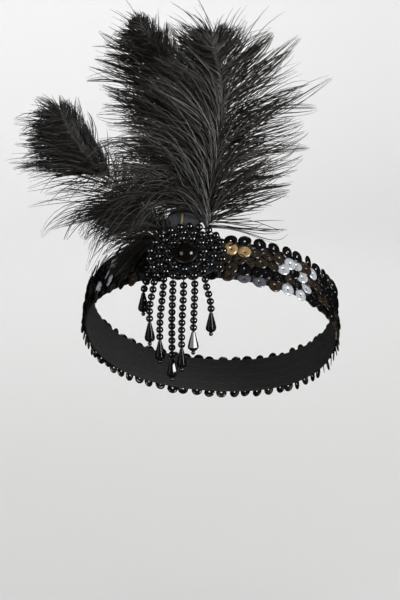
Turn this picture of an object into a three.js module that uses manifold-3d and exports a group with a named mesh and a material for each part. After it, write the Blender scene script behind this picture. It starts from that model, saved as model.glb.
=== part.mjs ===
// Flapper headband: a sequinned stretch band worn high on the forehead, with a beaded rosette,
// seven bead strands that end in faceted drops, and ostrich plumes rising from behind the rosette.
// Millimetres, +Z up, the wearer faces -Y. The origin is the middle of the head opening.
import * as THREE from 'three';
import { mergeVertices } from 'three/addons/utils/BufferGeometryUtils.js';
import Module from 'manifold-3d';

const wasm = await Module();
wasm.setup();

const DEG = Math.PI / 180;

// Driving dimensions
const GAP = 0.3;
const RING = { halfWidth: 75, halfDepth: 95, squareness: 2.2, tilt: 39 * DEG, roll: 4 * DEG };
const BAND = { width: 24, thickness: 1.2, steps: 58, leanFront: 8 * DEG, leanBack: -6 * DEG };
const SEQUIN = { rows: 5, perRow: 64, diameter: 7.5, fieldWidth: 31, thickness: 0.8, relief: 0.7 };
const ROSETTE = { side: -12.6, drop: 3.5 };
const QUILL = { rootRadius: 0.9, tipRadius: 0.35, sides: 6 };
const FELT = { halfWidth: 19.4, above: 17.8, below: 13, edge: 1.2, crown: 3.2 };
const TAB = { radius: 9.3, side: -4.5, up: 24 };
const PEARL = { diameter: 4, sides: 10 };
const THREAD = { radius: 0.4, ringRadius: 0.5 };
const STRAND = { pitch: 4, lead: 2.6, stopDiameter: 2.3 };
const DROP = { length: 10.3, diameter: 6, bore: 1.5, facets: 8 };
const STONE = { diameter: 11.6, cupDiameter: 13.2, cupHeight: 2, height: 7.3, sides: 16 };
const STUB = { radius: 0.65, length: 7, side: -5, foot: 20.8, sides: 6 };
const LEAN_BACK = 16 * DEG;
const BARB = { earlyTurn: 0.7, strides: 8 };

// Heights above the band's middle surface, outwards, at the rosette
const FIELD_INNER = BAND.thickness / 2 + GAP;
const FIELD_OUTER = FIELD_INNER + SEQUIN.thickness + SEQUIN.relief;
const QUILL_HEIGHT = FIELD_OUTER + GAP + QUILL.rootRadius;
const FELT_BACK = QUILL_HEIGHT + QUILL.rootRadius + GAP;

// Short tables, one row for each ring, strand, section or station

// Pearl rings of the rosette: half sizes through the bead centres, the beads that a whole ring has,
// counted from the lowest, and for the open outer ring the first and last bead that are there
const INNER_RING = { name: 'bead_ring_inner', halfWidth: 10.2, halfHeight: 9.6, beads: 11 };
const MIDDLE_RING = { name: 'bead_ring_middle', halfWidth: 15.2, halfHeight: 14, beads: 17 };
const OUTER_RING = { name: 'bead_ring_outer', halfWidth: 20, halfHeight: 18.4, beads: 22, first: 4, last: 19 };

// Strands from left to right: the ring and the bead of it that they hang from, counted from the
// lowest, the sideways and backward sway, and the depth at which the sway is reached
const STRANDS = [
  { ring: OUTER_RING, ringBead: -4, beads: 3, sway: -3.2, back: 1, settle: 14 },
  { ring: OUTER_RING, ringBead: -3, beads: 6, sway: -2.7, back: -0.5, settle: 18 },
  { ring: MIDDLE_RING, ringBead: -2, beads: 9, sway: -2.4, back: 0, settle: 30 },
  { ring: MIDDLE_RING, ringBead: -1, beads: 11, sway: -0.8, back: 2, settle: 25 },
  { ring: MIDDLE_RING, ringBead: 0, beads: 9, sway: -1.2, back: -2, settle: 30 },
  { ring: MIDDLE_RING, ringBead: 1, beads: 7, sway: -0.9, back: 0, settle: 35 },
  { ring: MIDDLE_RING, ringBead: 2, beads: 5, sway: 3.2, back: 0, settle: 18 },
];

// Plumes: where the quill lies in the slot behind the rosette (along and up the band), its path above
// (side, rise and back from the rosette's middle), and stations of the barbs on its left and right. A
// barb leaves the quill at the angle open and turns away from the tip over its length.
const PLUMES = [
  {
    name: 'plume_right',
    slot: [
      { along: 6, up: 4 },
      { along: 9, up: 19 },
    ],
    path: [
      { side: 10.5, rise: 33, back: 11 },
      { side: 13.5, rise: 52, back: 14 },
      { side: 16.4, rise: 68, back: 15 },
      { side: 18.2, rise: 86, back: 14.5 },
      { side: 17.6, rise: 102, back: 12 },
      { side: 13.5, rise: 119, back: 6 },
    ],
    left: [
      { at: 0.25, length: 78, open: 44, turn: 76 },
      { at: 0.3, length: 78, open: 42, turn: 66 },
      { at: 0.4, length: 68, open: 42, turn: 54 },
      { at: 0.5, length: 62, open: 44, turn: 40 },
      { at: 0.64, length: 54, open: 42, turn: 30 },
      { at: 0.8, length: 47, open: 38, turn: 22 },
      { at: 0.9, length: 40, open: 32, turn: 18 },
      { at: 1, length: 16, open: 26, turn: 14 },
    ],
    right: [
      { at: 0.22, length: 57, open: 54, turn: 57 },
      { at: 0.28, length: 58, open: 46, turn: 54 },
      { at: 0.38, length: 60, open: 38, turn: 50 },
      { at: 0.5, length: 54, open: 32, turn: 44 },
      { at: 0.62, length: 58, open: 32, turn: 42 },
      { at: 0.72, length: 62, open: 32, turn: 44 },
      { at: 0.8, length: 50, open: 32, turn: 36 },
      { at: 0.9, length: 36, open: 32, turn: 28 },
      { at: 1, length: 15, open: 26, turn: 14 },
    ],
    locks: 11,
    lockWidth: 9,
    lockThickness: 1.6,
    cup: -0.04,
  },
  {
    name: 'plume_left',
    slot: [
      { along: 0, up: 4 },
      { along: 0.5, up: 19 },
      { along: 1, up: 33 },
    ],
    path: [
      { side: 1, rise: 56, back: 25 },
      { side: -3, rise: 80, back: 32 },
      { side: -10.5, rise: 103, back: 34 },
      { side: -20, rise: 123, back: 32 },
      { side: -27, rise: 135, back: 28 },
    ],
    left: [
      { at: 0.34, length: 45, open: 58, turn: 21 },
      { at: 0.42, length: 44, open: 54, turn: 18 },
      { at: 0.58, length: 54, open: 50, turn: 16 },
      { at: 0.74, length: 49, open: 44, turn: 16 },
      { at: 0.88, length: 29, open: 40, turn: 14 },
      { at: 1, length: 9, open: 22, turn: 10 },
    ],
    right: [
      { at: 0.34, length: 43, open: 28, turn: 16 },
      { at: 0.42, length: 46, open: 22, turn: 12 },
      { at: 0.58, length: 47, open: 19, turn: 10 },
      { at: 0.74, length: 37, open: 19, turn: 10 },
      { at: 0.88, length: 20, open: 20, turn: 10 },
      { at: 1, length: 9, open: 20, turn: 10 },
    ],
    locks: 10,
    lockWidth: 9,
    lockThickness: 1.6,
    cup: 0.2,
  },
  {
    name: 'plume_side',
    slot: [
      { along: -6, up: 5 },
      { along: -15, up: 19 },
    ],
    path: [
      { side: -28, rise: 31, back: 13 },
      { side: -42, rise: 47, back: 16 },
      { side: -53, rise: 57, back: 15 },
      { side: -64, rise: 68, back: 12 },
      { side: -74, rise: 80, back: 7 },
    ],
    left: [
      { at: 0.34, length: 54, open: 38, turn: 30 },
      { at: 0.5, length: 54, open: 38, turn: 32 },
      { at: 0.6, length: 48, open: 28, turn: 38 },
      { at: 0.75, length: 42, open: 30, turn: 34 },
      { at: 0.9, length: 30, open: 34, turn: 22 },
      { at: 1, length: 15, open: 34, turn: 14 },
    ],
    right: [
      { at: 0.56, length: 24, open: 44, turn: -14 },
      { at: 0.64, length: 27, open: 44, turn: -18 },
      { at: 0.78, length: 25, open: 42, turn: -16 },
      { at: 0.9, length: 19, open: 36, turn: -8 },
      { at: 1, length: 11, open: 30, turn: 0 },
    ],
    locks: 8,
    lockWidth: 8,
    lockThickness: 1.6,
    cup: -0.1,
  },
];

// The low feather lies over the band's outer face, so its path is along, up and behind the rosette there
const LOW_FEATHER = {
  name: 'plume_low',
  slot: [
    { along: -12, up: 8 },
  ],
  path: [
    { side: -18, rise: 14.5, back: -2 },
    { side: -25, rise: 11, back: 0.2 },
    { side: -31.5, rise: 4, back: 3.2 },
  ],
  left: [
    { at: 0.5, length: 23, open: 42, turn: 15 },
    { at: 0.7, length: 20, open: 36, turn: 13 },
    { at: 1, length: 15, open: 24, turn: 10 },
  ],
  right: [
    { at: 0.5, length: 10, open: 38, turn: 14 },
    { at: 0.7, length: 10, open: 36, turn: 10 },
    { at: 1, length: 10, open: 20, turn: 6 },
  ],
  locks: 5,
  lockWidth: 5.5,
  lockThickness: 1.4,
  cup: 0.08,
};

// Materials
const FINISH = {
  elastic: { color: 0x0b0b0c, roughness: 0.85, metalness: 0 },
  sequin: { color: 0x14120f, roughness: 0.22, metalness: 0.3 },
  felt: { color: 0x17191b, roughness: 0.95, metalness: 0 },
  stone: { color: 0x050505, roughness: 0.08, metalness: 0 },
  pearl: { color: 0x0c0c0d, roughness: 0.18, metalness: 0.1 },
  cutBead: { color: 0x060606, roughness: 0.08, metalness: 0 },
  feather: { color: 0x141312, roughness: 0.7, metalness: 0 },
  quill: { color: 0x6b5238, roughness: 0.5, metalness: 0 },
};

// Solids: to and from the library that joins closed meshes

function toSolid(geometry) {
  const bare = new THREE.BufferGeometry();
  bare.setAttribute('position', geometry.getAttribute('position'));
  bare.setIndex(geometry.getIndex());
  const merged = mergeVertices(bare, 1e-4);
  const mesh = new wasm.Mesh({
    numProp: 3,
    vertProperties: new Float32Array(merged.getAttribute('position').array),
    triVerts: new Uint32Array(merged.getIndex().array),
  });
  return new wasm.Manifold(mesh);
}

function fuse(geometries) {
  const joined = geometries.map(toSolid).reduce((sum, solid) => sum.add(solid));
  const mesh = joined.getMesh();
  const geometry = new THREE.BufferGeometry();
  geometry.setAttribute('position', new THREE.BufferAttribute(mesh.vertProperties, 3));
  geometry.setIndex(new THREE.BufferAttribute(mesh.triVerts, 1));
  geometry.computeVertexNormals();
  return geometry;
}

function addMesh(group, name, geometry, finish) {
  const mesh = new THREE.Mesh(geometry, new THREE.MeshStandardMaterial(finish));
  mesh.name = name;
  group.add(mesh);
  return mesh;
}

// Moves every vertex of a geometry to place(x, y, z)
function reshape(geometry, place) {
  const position = geometry.getAttribute('position');
  for (let i = 0; i < position.count; i += 1) {
    const moved = place(position.getX(i), position.getY(i), position.getZ(i));
    position.setXYZ(i, moved.x, moved.y, moved.z);
  }
  geometry.computeVertexNormals();
  return geometry;
}

// A closed ring whose section corners are placed one by one: place(step, corner)
function wrapLoop(corners, steps, place) {
  const geometry = new THREE.TorusGeometry(2, 1, corners, steps);
  const position = geometry.getAttribute('position');
  const perCorner = steps + 1;
  for (let i = 0; i < position.count; i += 1) {
    const corner = Math.floor(i / perCorner) % corners;
    const step = (i % perCorner) % steps;
    const moved = place(step, corner);
    position.setXYZ(i, moved.x, moved.y, moved.z);
  }
  geometry.computeVertexNormals();
  return geometry;
}

// A closed tapering rod along a path: place(along) gives its middle and its two half-size vectors
function bentRod(sides, steps, place) {
  const rod = new THREE.CylinderGeometry(1, 1, 1, sides, steps);
  return reshape(rod, (x, y, z) => {
    const at = place(y + 0.5);
    return at.middle.clone().addScaledVector(at.wide, x).addScaledVector(at.deep, -z);
  });
}

// The head ring: a rounded oblong in its own plane, front at -Y

class HeadOutline extends THREE.Curve {
  getPoint(t, target = new THREE.Vector3()) {
    const turn = t * Math.PI * 2;
    const power = 2 / RING.squareness;
    const spread = (value) => Math.sign(value) * Math.abs(value) ** power;
    return target.set(
      RING.halfWidth * spread(Math.sin(turn)),
      -RING.halfDepth * spread(Math.cos(turn)),
      0,
    );
  }
}

const outline = new HeadOutline();
outline.arcLengthDivisions = 4000;

// Directions of the band's wall at a share of the way round: out of the head, up the wall, along
function wallFrame(share) {
  const middle = outline.getPointAt(((share % 1) + 1) % 1);
  const slope = (value, half) => (Math.sign(value) * Math.abs(value / half) ** (RING.squareness - 1)) / half;
  const flatOut = new THREE.Vector3(
    slope(middle.x, RING.halfWidth),
    slope(middle.y, RING.halfDepth),
    0,
  ).normalize();
  const frontness = -middle.y / RING.halfDepth;
  const lean = THREE.MathUtils.mapLinear(frontness, -1, 1, BAND.leanBack, BAND.leanFront);
  const plumb = new THREE.Vector3(0, 0, 1);
  const out = flatOut.clone().multiplyScalar(Math.cos(lean)).addScaledVector(plumb, Math.sin(lean));
  const up = plumb.multiplyScalar(Math.cos(lean)).addScaledVector(flatOut, -Math.sin(lean));
  const along = new THREE.Vector3().crossVectors(up, out);
  return { middle, out, up, along };
}

function wallPoint(share, height, outwards) {
  const frame = wallFrame(share);
  return frame.middle.addScaledVector(frame.up, height).addScaledVector(frame.out, outwards);
}

// Woven elastic loop, a plain wall
function makeBand() {
  const corners = [
    { height: -BAND.width / 2, out: BAND.thickness / 2 },
    { height: BAND.width / 2, out: BAND.thickness / 2 },
    { height: BAND.width / 2, out: -BAND.thickness / 2 },
    { height: -BAND.width / 2, out: -BAND.thickness / 2 },
  ];
  return wrapLoop(corners.length, BAND.steps, (step, corner) => {
    const at = corners[corner];
    return wallPoint(step / BAND.steps, at.height, at.out);
  });
}

// Field of overlapping sequins: a sleeve with one bump for each sequin and a scalloped edge
function makeSequinField() {
  const columns = SEQUIN.perRow * 2;
  const lastRow = SEQUIN.rows - 1;
  const pitch = (SEQUIN.fieldWidth - SEQUIN.diameter) / lastRow;
  const scallop = SEQUIN.diameter / 4;
  const corners = SEQUIN.rows + 2;
  return wrapLoop(corners, columns, (step, corner) => {
    const share = step / columns;
    const inside = corner >= SEQUIN.rows;
    const row = inside ? (corner === SEQUIN.rows ? lastRow : 0) : corner;
    const onSequin = (step + row) % 2 === 0;
    let height = (row - lastRow / 2) * pitch;
    if (row === 0 || row === lastRow) {
      const reach = onSequin ? SEQUIN.diameter / 2 : SEQUIN.diameter / 2 - scallop;
      height += Math.sign(height) * reach;
    }
    const bump = onSequin ? SEQUIN.relief : 0;
    return wallPoint(share, height, inside ? FIELD_INNER : FIELD_INNER + SEQUIN.thickness + bump);
  });
}

// Rosette

// Felt crown: height of the felt's front above its back, at a share of the way from middle to edge
const FELT_CROWN = [
  { share: 0, height: FELT.crown },
  { share: 0.5, height: 2.7 },
  { share: 0.75, height: 2.1 },
  { share: 1, height: FELT.edge },
];

// The felt is an oval that is lower below its middle than above
function feltHalfHeight(y) {
  return y < 0 ? FELT.below : FELT.above;
}

function feltHeight(x, y) {
  const share = Math.min(1, Math.hypot(x / FELT.halfWidth, y / feltHalfHeight(y)));
  const next = FELT_CROWN.findIndex((row) => row.share >= share);
  if (next === 0) return FELT_CROWN[0].height;
  const low = FELT_CROWN[next - 1];
  const high = FELT_CROWN[next];
  return THREE.MathUtils.mapLinear(share, low.share, high.share, low.height, high.height);
}

function makeFelt() {
  const profile = [new THREE.Vector2(0, 0), new THREE.Vector2(1, 0)];
  for (const row of [...FELT_CROWN].reverse()) profile.push(new THREE.Vector2(row.share, row.height));
  const oval = reshape(new THREE.LatheGeometry(profile, 24), (x, y, z) => new THREE.Vector3(
    x * FELT.halfWidth,
    -z * feltHalfHeight(-z),
    y,
  ));
  const tab = new THREE.CylinderGeometry(TAB.radius, TAB.radius, FELT.edge, 20);
  tab.rotateX(Math.PI / 2).translate(TAB.side, TAB.up, FELT.edge / 2);
  return fuse([oval, tab]);
}

// Domed stone sitting in its cup
function makeCabochon() {
  const rim = STONE.cupDiameter / 2;
  const girdle = STONE.diameter / 2;
  const profile = [
    new THREE.Vector2(0, 0),
    new THREE.Vector2(rim - 0.4, 0),
    new THREE.Vector2(rim, STONE.cupHeight),
    new THREE.Vector2(girdle, STONE.cupHeight + 0.3),
  ];
  const dome = STONE.height - STONE.cupHeight - 0.3;
  for (const angle of [30, 55, 75]) {
    profile.push(new THREE.Vector2(
      girdle * Math.cos(angle * DEG),
      STONE.cupHeight + 0.3 + dome * Math.sin(angle * DEG),
    ));
  }
  profile.push(new THREE.Vector2(0, STONE.height));
  return new THREE.LatheGeometry(profile, STONE.sides).rotateX(Math.PI / 2);
}

// A point of one pearl ring's thread, at a share of the way round, from the lowest bead
function ringPoint(ring, share) {
  const oval = new THREE.EllipseCurve(0, 0, ring.halfWidth, ring.halfHeight, -Math.PI / 2, Math.PI * 1.5);
  const spot = oval.getPointAt(((share % 1) + 1) % 1);
  return new THREE.Vector3(spot.x, spot.y, feltHeight(spot.x, spot.y) + GAP + PEARL.diameter / 2);
}

// One bead's section along its thread, from one side of the bead to the other
const PEARL_SECTION = [
  { offset: -0.5, radius: THREAD.ringRadius },
  { offset: -0.2, radius: PEARL.diameter * 0.48 },
  { offset: 0.2, radius: PEARL.diameter * 0.48 },
  { offset: 0.5, radius: THREAD.ringRadius },
];

// Middle of a ring's thread and its two half-size vectors, at one section of one bead
function pearlSection(ring, bead, section) {
  const pitch = ringLength(ring) / ring.beads;
  const middle = ringPoint(ring, (bead + (section.offset * PEARL.diameter) / pitch) / ring.beads);
  const wide = new THREE.Vector3(middle.x, middle.y, 0).setLength(section.radius);
  const deep = new THREE.Vector3(0, 0, section.radius);
  return { middle, wide, deep };
}

// A whole ring of pearls fused on their thread
function makePearlRing(ring) {
  const perBead = PEARL_SECTION.length;
  return wrapLoop(PEARL.sides, ring.beads * perBead, (step, corner) => {
    const at = pearlSection(ring, Math.floor(step / perBead), PEARL_SECTION[step % perBead]);
    const turn = (corner / PEARL.sides) * Math.PI * 2;
    return at.middle.addScaledVector(at.wide, Math.cos(turn)).addScaledVector(at.deep, Math.sin(turn));
  });
}

// A ring of pearls that is open at the bottom, where the strands hang
function makeOpenPearlRing(ring) {
  const perBead = PEARL_SECTION.length;
  const steps = (ring.last - ring.first + 1) * perBead - 1;
  return bentRod(PEARL.sides, steps, (along) => {
    const step = Math.round((1 - along) * steps);
    return pearlSection(ring, ring.first + Math.floor(step / perBead), PEARL_SECTION[step % perBead]);
  });
}

function ringLength(ring) {
  return new THREE.EllipseCurve(0, 0, ring.halfWidth, ring.halfHeight).getLength();
}

// Bare quill end in front of the felt tab
function makeQuillStub() {
  const stub = new THREE.CylinderGeometry(STUB.radius * 0.8, STUB.radius, STUB.length, STUB.sides);
  const height = FELT.edge + GAP + STUB.radius;
  return stub.translate(STUB.side, STUB.foot + STUB.length / 2, height);
}

// Strands and drops

// Length of strand from its top to the underside of its last pearl
function beadedLength(strand) {
  return strand.beads * STRAND.pitch;
}

// Hanging line: straight down, easing sideways and back over its first stretch
function hang(strand, top, depth) {
  const share = THREE.MathUtils.smoothstep(depth, 0, strand.settle);
  return new THREE.Vector3(top.x + strand.sway * share, top.y + strand.back * share, top.z - depth);
}

function makeStrand(strand, top) {
  const shoulder = PEARL.diameter / 2;
  const flat = 0.38 * shoulder;
  const profile = [new THREE.Vector2(0, 0), new THREE.Vector2(THREAD.ringRadius, 0)];
  for (let i = 0; i < strand.beads; i += 1) {
    const middle = (i + 0.5) * STRAND.pitch;
    profile.push(new THREE.Vector2(shoulder * 0.97, middle - flat));
    profile.push(new THREE.Vector2(shoulder * 0.97, middle + flat));
    profile.push(new THREE.Vector2(THREAD.ringRadius, (i + 1) * STRAND.pitch));
  }
  const stopTop = beadedLength(strand) + GAP + DROP.length + GAP;
  const stopRadius = STRAND.stopDiameter / 2;
  profile.push(new THREE.Vector2(THREAD.radius, beadedLength(strand) + GAP / 2));
  profile.push(new THREE.Vector2(THREAD.radius, stopTop));
  profile.push(new THREE.Vector2(stopRadius, stopTop + stopRadius * 0.6));
  profile.push(new THREE.Vector2(stopRadius, stopTop + stopRadius * 1.4));
  profile.push(new THREE.Vector2(0, stopTop + STRAND.stopDiameter));
  return reshape(new THREE.LatheGeometry(profile, PEARL.sides), (x, y, z) => (
    hang(strand, top, y).add(new THREE.Vector3(x, z, 0))
  ));
}

// Teardrop with flat facets, drilled from top to bottom for the thread
function makeDrop(strand, top) {
  const belly = DROP.diameter / 2;
  const bore = DROP.bore / 2;
  const start = beadedLength(strand) + GAP;
  const profile = [
    new THREE.Vector2(bore, DROP.length),
    new THREE.Vector2(bore, 0),
    new THREE.Vector2(belly * 0.42, 0),
    new THREE.Vector2(belly * 0.84, DROP.length * 0.54),
    new THREE.Vector2(belly, DROP.length * 0.76),
    new THREE.Vector2(belly * 0.6, DROP.length),
    new THREE.Vector2(bore, DROP.length),
  ];
  return reshape(new THREE.LatheGeometry(profile, DROP.facets), (x, y, z) => (
    hang(strand, top, start + y).add(new THREE.Vector3(x, z, 0))
  ));
}

// Plumes

// Length, angle and turn of the barbs on one side, at a share of the quill
function stationAt(rows, at) {
  const next = Math.max(1, rows.findIndex((row) => row.at >= at - 1e-9));
  const low = rows[next - 1];
  const high = rows[next];
  const mix = (key) => THREE.MathUtils.mapLinear(at, low.at, high.at, low[key], high[key]);
  return { length: mix('length'), open: mix('open') * DEG, turn: mix('turn') * DEG };
}

// Direction of a barb at a share of its length: it turns most near the quill
function barbHeading(heading, hand, station, along) {
  return heading + hand * (station.open + station.turn * along ** BARB.earlyTurn);
}

// A barb curves in the plume's plane and is cupped a little to the back
function barbPoint(foot, heading, hand, station, cup, along) {
  const point = foot.clone();
  const stride = (station.length * along) / BARB.strides;
  for (let i = 0; i < BARB.strides; i += 1) {
    const aim = barbHeading(heading, hand, station, (along * (i + 0.5)) / BARB.strides);
    point.x += stride * Math.sin(aim);
    point.z += stride * Math.cos(aim);
  }
  point.y += cup * station.length * along * along;
  return point;
}

function makeLock(plume, foot, heading, hand, station, cup) {
  const steps = station.length > 25 ? 3 : 2;
  return bentRod(3, steps, (along) => {
    const direction = barbHeading(heading, hand, station, along);
    const swell = 0.35 + 0.65 * Math.sin(Math.PI * Math.min(1, 0.15 + 0.75 * along));
    const taper = along > 0.99 ? 0.12 : swell;
    const wide = (plume.lockWidth / 2) * taper;
    const deep = (plume.lockThickness / 2) * taper;
    return {
      middle: barbPoint(foot, heading, hand, station, cup, along),
      wide: new THREE.Vector3(wide * Math.cos(direction), 0, -wide * Math.sin(direction)),
      deep: new THREE.Vector3(0, deep, 0),
    };
  });
}

function makePlume(plume, group) {
  const slotPoint = (row) => group.worldToLocal(
    rosette.localToWorld(new THREE.Vector3(row.along, row.up, QUILL_HEIGHT)),
  );
  const freePoint = (row) => new THREE.Vector3(row.side, row.back, row.rise);
  const quill = new THREE.CatmullRomCurve3(
    [...plume.slot.map(slotPoint), ...plume.path.map(freePoint)],
    false,
    'centripetal',
  );
  const quillRod = bentRod(QUILL.sides, 9, (along) => {
    const tangent = quill.getTangentAt(along);
    const radius = THREE.MathUtils.lerp(QUILL.rootRadius, QUILL.tipRadius, along);
    const wide = new THREE.Vector3(tangent.z, 0, -tangent.x).normalize();
    const deep = new THREE.Vector3().crossVectors(tangent, wide).normalize();
    return {
      middle: quill.getPointAt(along),
      wide: wide.multiplyScalar(radius),
      deep: deep.multiplyScalar(radius),
    };
  });
  const pieces = [quillRod];
  for (const [rows, hand] of [[plume.left, -1], [plume.right, 1]]) {
    for (let i = 0; i < plume.locks; i += 1) {
      const at = THREE.MathUtils.lerp(rows[0].at, 0.995, i / (plume.locks - 1));
      const tangent = quill.getTangentAt(at);
      const heading = Math.atan2(tangent.x, tangent.z);
      const cup = plume.cup * (i % 2 === 0 ? 1 : 0.3);
      pieces.push(makeLock(plume, quill.getPointAt(at), heading, hand, stationAt(rows, at), cup));
    }
  }
  return fuse(pieces);
}

// Assembly

const headband = new THREE.Group();

// The ring as worn: front up, right side a little lower
const worn = new THREE.Group();
worn.rotation.set(-RING.tilt, RING.roll, 0);
headband.add(worn);
addMesh(worn, 'stretch_band', makeBand(), FINISH.elastic);
addMesh(worn, 'sequin_field', makeSequinField(), FINISH.sequin);

// The rosette's frame: along the band, up its wall, out of the head
const rosetteShare = ROSETTE.side / outline.getLength();
const rosetteWall = wallFrame(rosetteShare);
const rosette = new THREE.Group();
const rosetteBasis = new THREE.Matrix4().makeBasis(rosetteWall.along, rosetteWall.up, rosetteWall.out);
rosette.quaternion.setFromRotationMatrix(rosetteBasis);
rosette.position.copy(wallPoint(rosetteShare, -ROSETTE.drop, 0));
worn.add(rosette);

const onFelt = new THREE.Group();
onFelt.position.z = FELT_BACK;
rosette.add(onFelt);
addMesh(onFelt, 'backing', makeFelt(), FINISH.felt);
addMesh(onFelt, 'cabochon', makeCabochon().translate(0, 0, FELT.crown + GAP), FINISH.stone);
addMesh(onFelt, INNER_RING.name, makePearlRing(INNER_RING), FINISH.pearl);
addMesh(onFelt, MIDDLE_RING.name, makePearlRing(MIDDLE_RING), FINISH.pearl);
addMesh(onFelt, OUTER_RING.name, makeOpenPearlRing(OUTER_RING), FINISH.pearl);
addMesh(onFelt, 'quill_stub', makeQuillStub(), FINISH.quill);

headband.updateMatrixWorld(true);

// Strands hang plumb from the rings' lower beads, each starting outside and below its bead
STRANDS.forEach((strand, i) => {
  const bead = ringPoint(strand.ring, strand.ringBead / strand.ring.beads);
  const rim = bead.clone().setZ(0).normalize().add(bead);
  const top = onFelt.localToWorld(bead);
  const start = onFelt.localToWorld(rim).sub(top).add(new THREE.Vector3(0, 0, -1)).setLength(STRAND.lead);
  top.add(start);
  addMesh(headband, `bead_strand_${i + 1}`, makeStrand(strand, top), FINISH.pearl);
  addMesh(headband, `drop_${i + 1}`, makeDrop(strand, top), FINISH.cutBead);
});

// Tall plumes share a plane that leans back
const tall = new THREE.Group();
tall.position.copy(rosette.getWorldPosition(new THREE.Vector3()));
tall.rotation.x = -LEAN_BACK;
headband.add(tall);
// The low feather follows the band's wall
const low = new THREE.Group();
low.rotation.x = -Math.PI / 2;
rosette.add(low);
headband.updateMatrixWorld(true);
for (const plume of PLUMES) addMesh(tall, plume.name, makePlume(plume, tall), FINISH.feather);
addMesh(low, LOW_FEATHER.name, makePlume(LOW_FEATHER, low), FINISH.feather);

export default headband;
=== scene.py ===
# %% [markdown]
# # Dressing a flapper headband
# The solids of the headband are already in their places: a stretch band, its sequins, a beaded rosette
# with hanging strands, and ostrich plumes. This lesson gives every one of them its real surface.
# We start by loading the solids, because all that follows is placed by them, in metres.

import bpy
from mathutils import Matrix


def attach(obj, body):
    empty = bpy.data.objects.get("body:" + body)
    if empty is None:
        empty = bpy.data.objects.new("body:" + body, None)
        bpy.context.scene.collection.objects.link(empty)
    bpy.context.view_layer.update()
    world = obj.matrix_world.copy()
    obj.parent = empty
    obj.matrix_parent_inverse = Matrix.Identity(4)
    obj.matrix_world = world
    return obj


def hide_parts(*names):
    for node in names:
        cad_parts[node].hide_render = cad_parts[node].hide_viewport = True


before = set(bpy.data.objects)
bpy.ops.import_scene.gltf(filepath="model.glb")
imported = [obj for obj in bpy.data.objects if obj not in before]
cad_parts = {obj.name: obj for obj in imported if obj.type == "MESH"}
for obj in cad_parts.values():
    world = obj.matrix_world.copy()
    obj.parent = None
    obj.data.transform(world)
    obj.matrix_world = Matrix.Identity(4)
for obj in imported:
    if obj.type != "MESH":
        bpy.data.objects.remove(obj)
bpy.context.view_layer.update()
print("solids loaded:", len(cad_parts))

# %% Tools for this lesson
import math

import bpy
import numpy as np
from mathutils import Matrix, Vector

MM = 0.001
print("Blender", bpy.app.version_string)

# %% [markdown]
# ## The camera
# The picture was taken from the front, a little above the band, with a lens of about 30 degrees from
# top to bottom. We put the middle of the band's opening at the spot of the picture where it belongs, by
# moving the camera sideways and up in its own plane. A lens shift would do the same, but it would also
# shift every other view.

# %% Camera
PICTURE = (400, 600)
OPENING_PIXEL = (211, 324)
FIELD_OF_VIEW = math.radians(30)
LOOK_DOWN = math.radians(16)
CAMERA_DISTANCE = 0.69

look = Vector((0, math.cos(LOOK_DOWN), -math.sin(LOOK_DOWN)))
above = Vector((0, math.sin(LOOK_DOWN), math.cos(LOOK_DOWN)))
aside = Vector((1, 0, 0))
pixel = 2 * CAMERA_DISTANCE * math.tan(FIELD_OF_VIEW / 2) / PICTURE[1]
right_of_middle = (OPENING_PIXEL[0] - PICTURE[0] / 2) * pixel
below_middle = (OPENING_PIXEL[1] - PICTURE[1] / 2) * pixel

bpy.ops.object.camera_add(
    location=above * below_middle - aside * right_of_middle - look * CAMERA_DISTANCE,
    rotation=(math.pi / 2 - LOOK_DOWN, 0, 0),
)
camera = bpy.context.object
camera.data.sensor_width = 36
camera.data.lens = camera.data.sensor_width / 2 / math.tan(FIELD_OF_VIEW / 2)
bpy.context.scene.camera = camera
print("lens in mm:", round(camera.data.lens, 1), "one pixel in mm:", round(pixel / MM, 2))

# %% [markdown]
# ## Writing materials as sums
# A material in Blender is a web of nodes, which is slow to read as code. So one small class stands for
# an output socket and understands plus, minus and times, and another makes any node from its type, its
# settings and what goes into its sockets. Every finish below is written with these two.


# %% Sockets in sums
class Wire:
    """An output of a node. Sums and products of wires and numbers become Math nodes."""

    def __init__(self, finish, socket):
        self.finish = finish
        self.socket = socket

    def math(self, operation, first, second):
        return self.finish.node("ShaderNodeMath", {"operation": operation}, {0: first, 1: second})

    def __add__(self, other):
        return self.math("ADD", self, other)

    def __radd__(self, other):
        return self.math("ADD", other, self)

    def __sub__(self, other):
        return self.math("SUBTRACT", self, other)

    def __rsub__(self, other):
        return self.math("SUBTRACT", other, self)

    def __mul__(self, other):
        return self.math("MULTIPLY", self, other)

    def __rmul__(self, other):
        return self.math("MULTIPLY", other, self)

    def sine(self):
        return self.math("SINE", self, 0.0)


# %% Nodes from one method
def colour_of(value):
    """A colour as a socket takes it; a wire stays as it is."""
    return value if isinstance(value, Wire) else (*value, 1)


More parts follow.
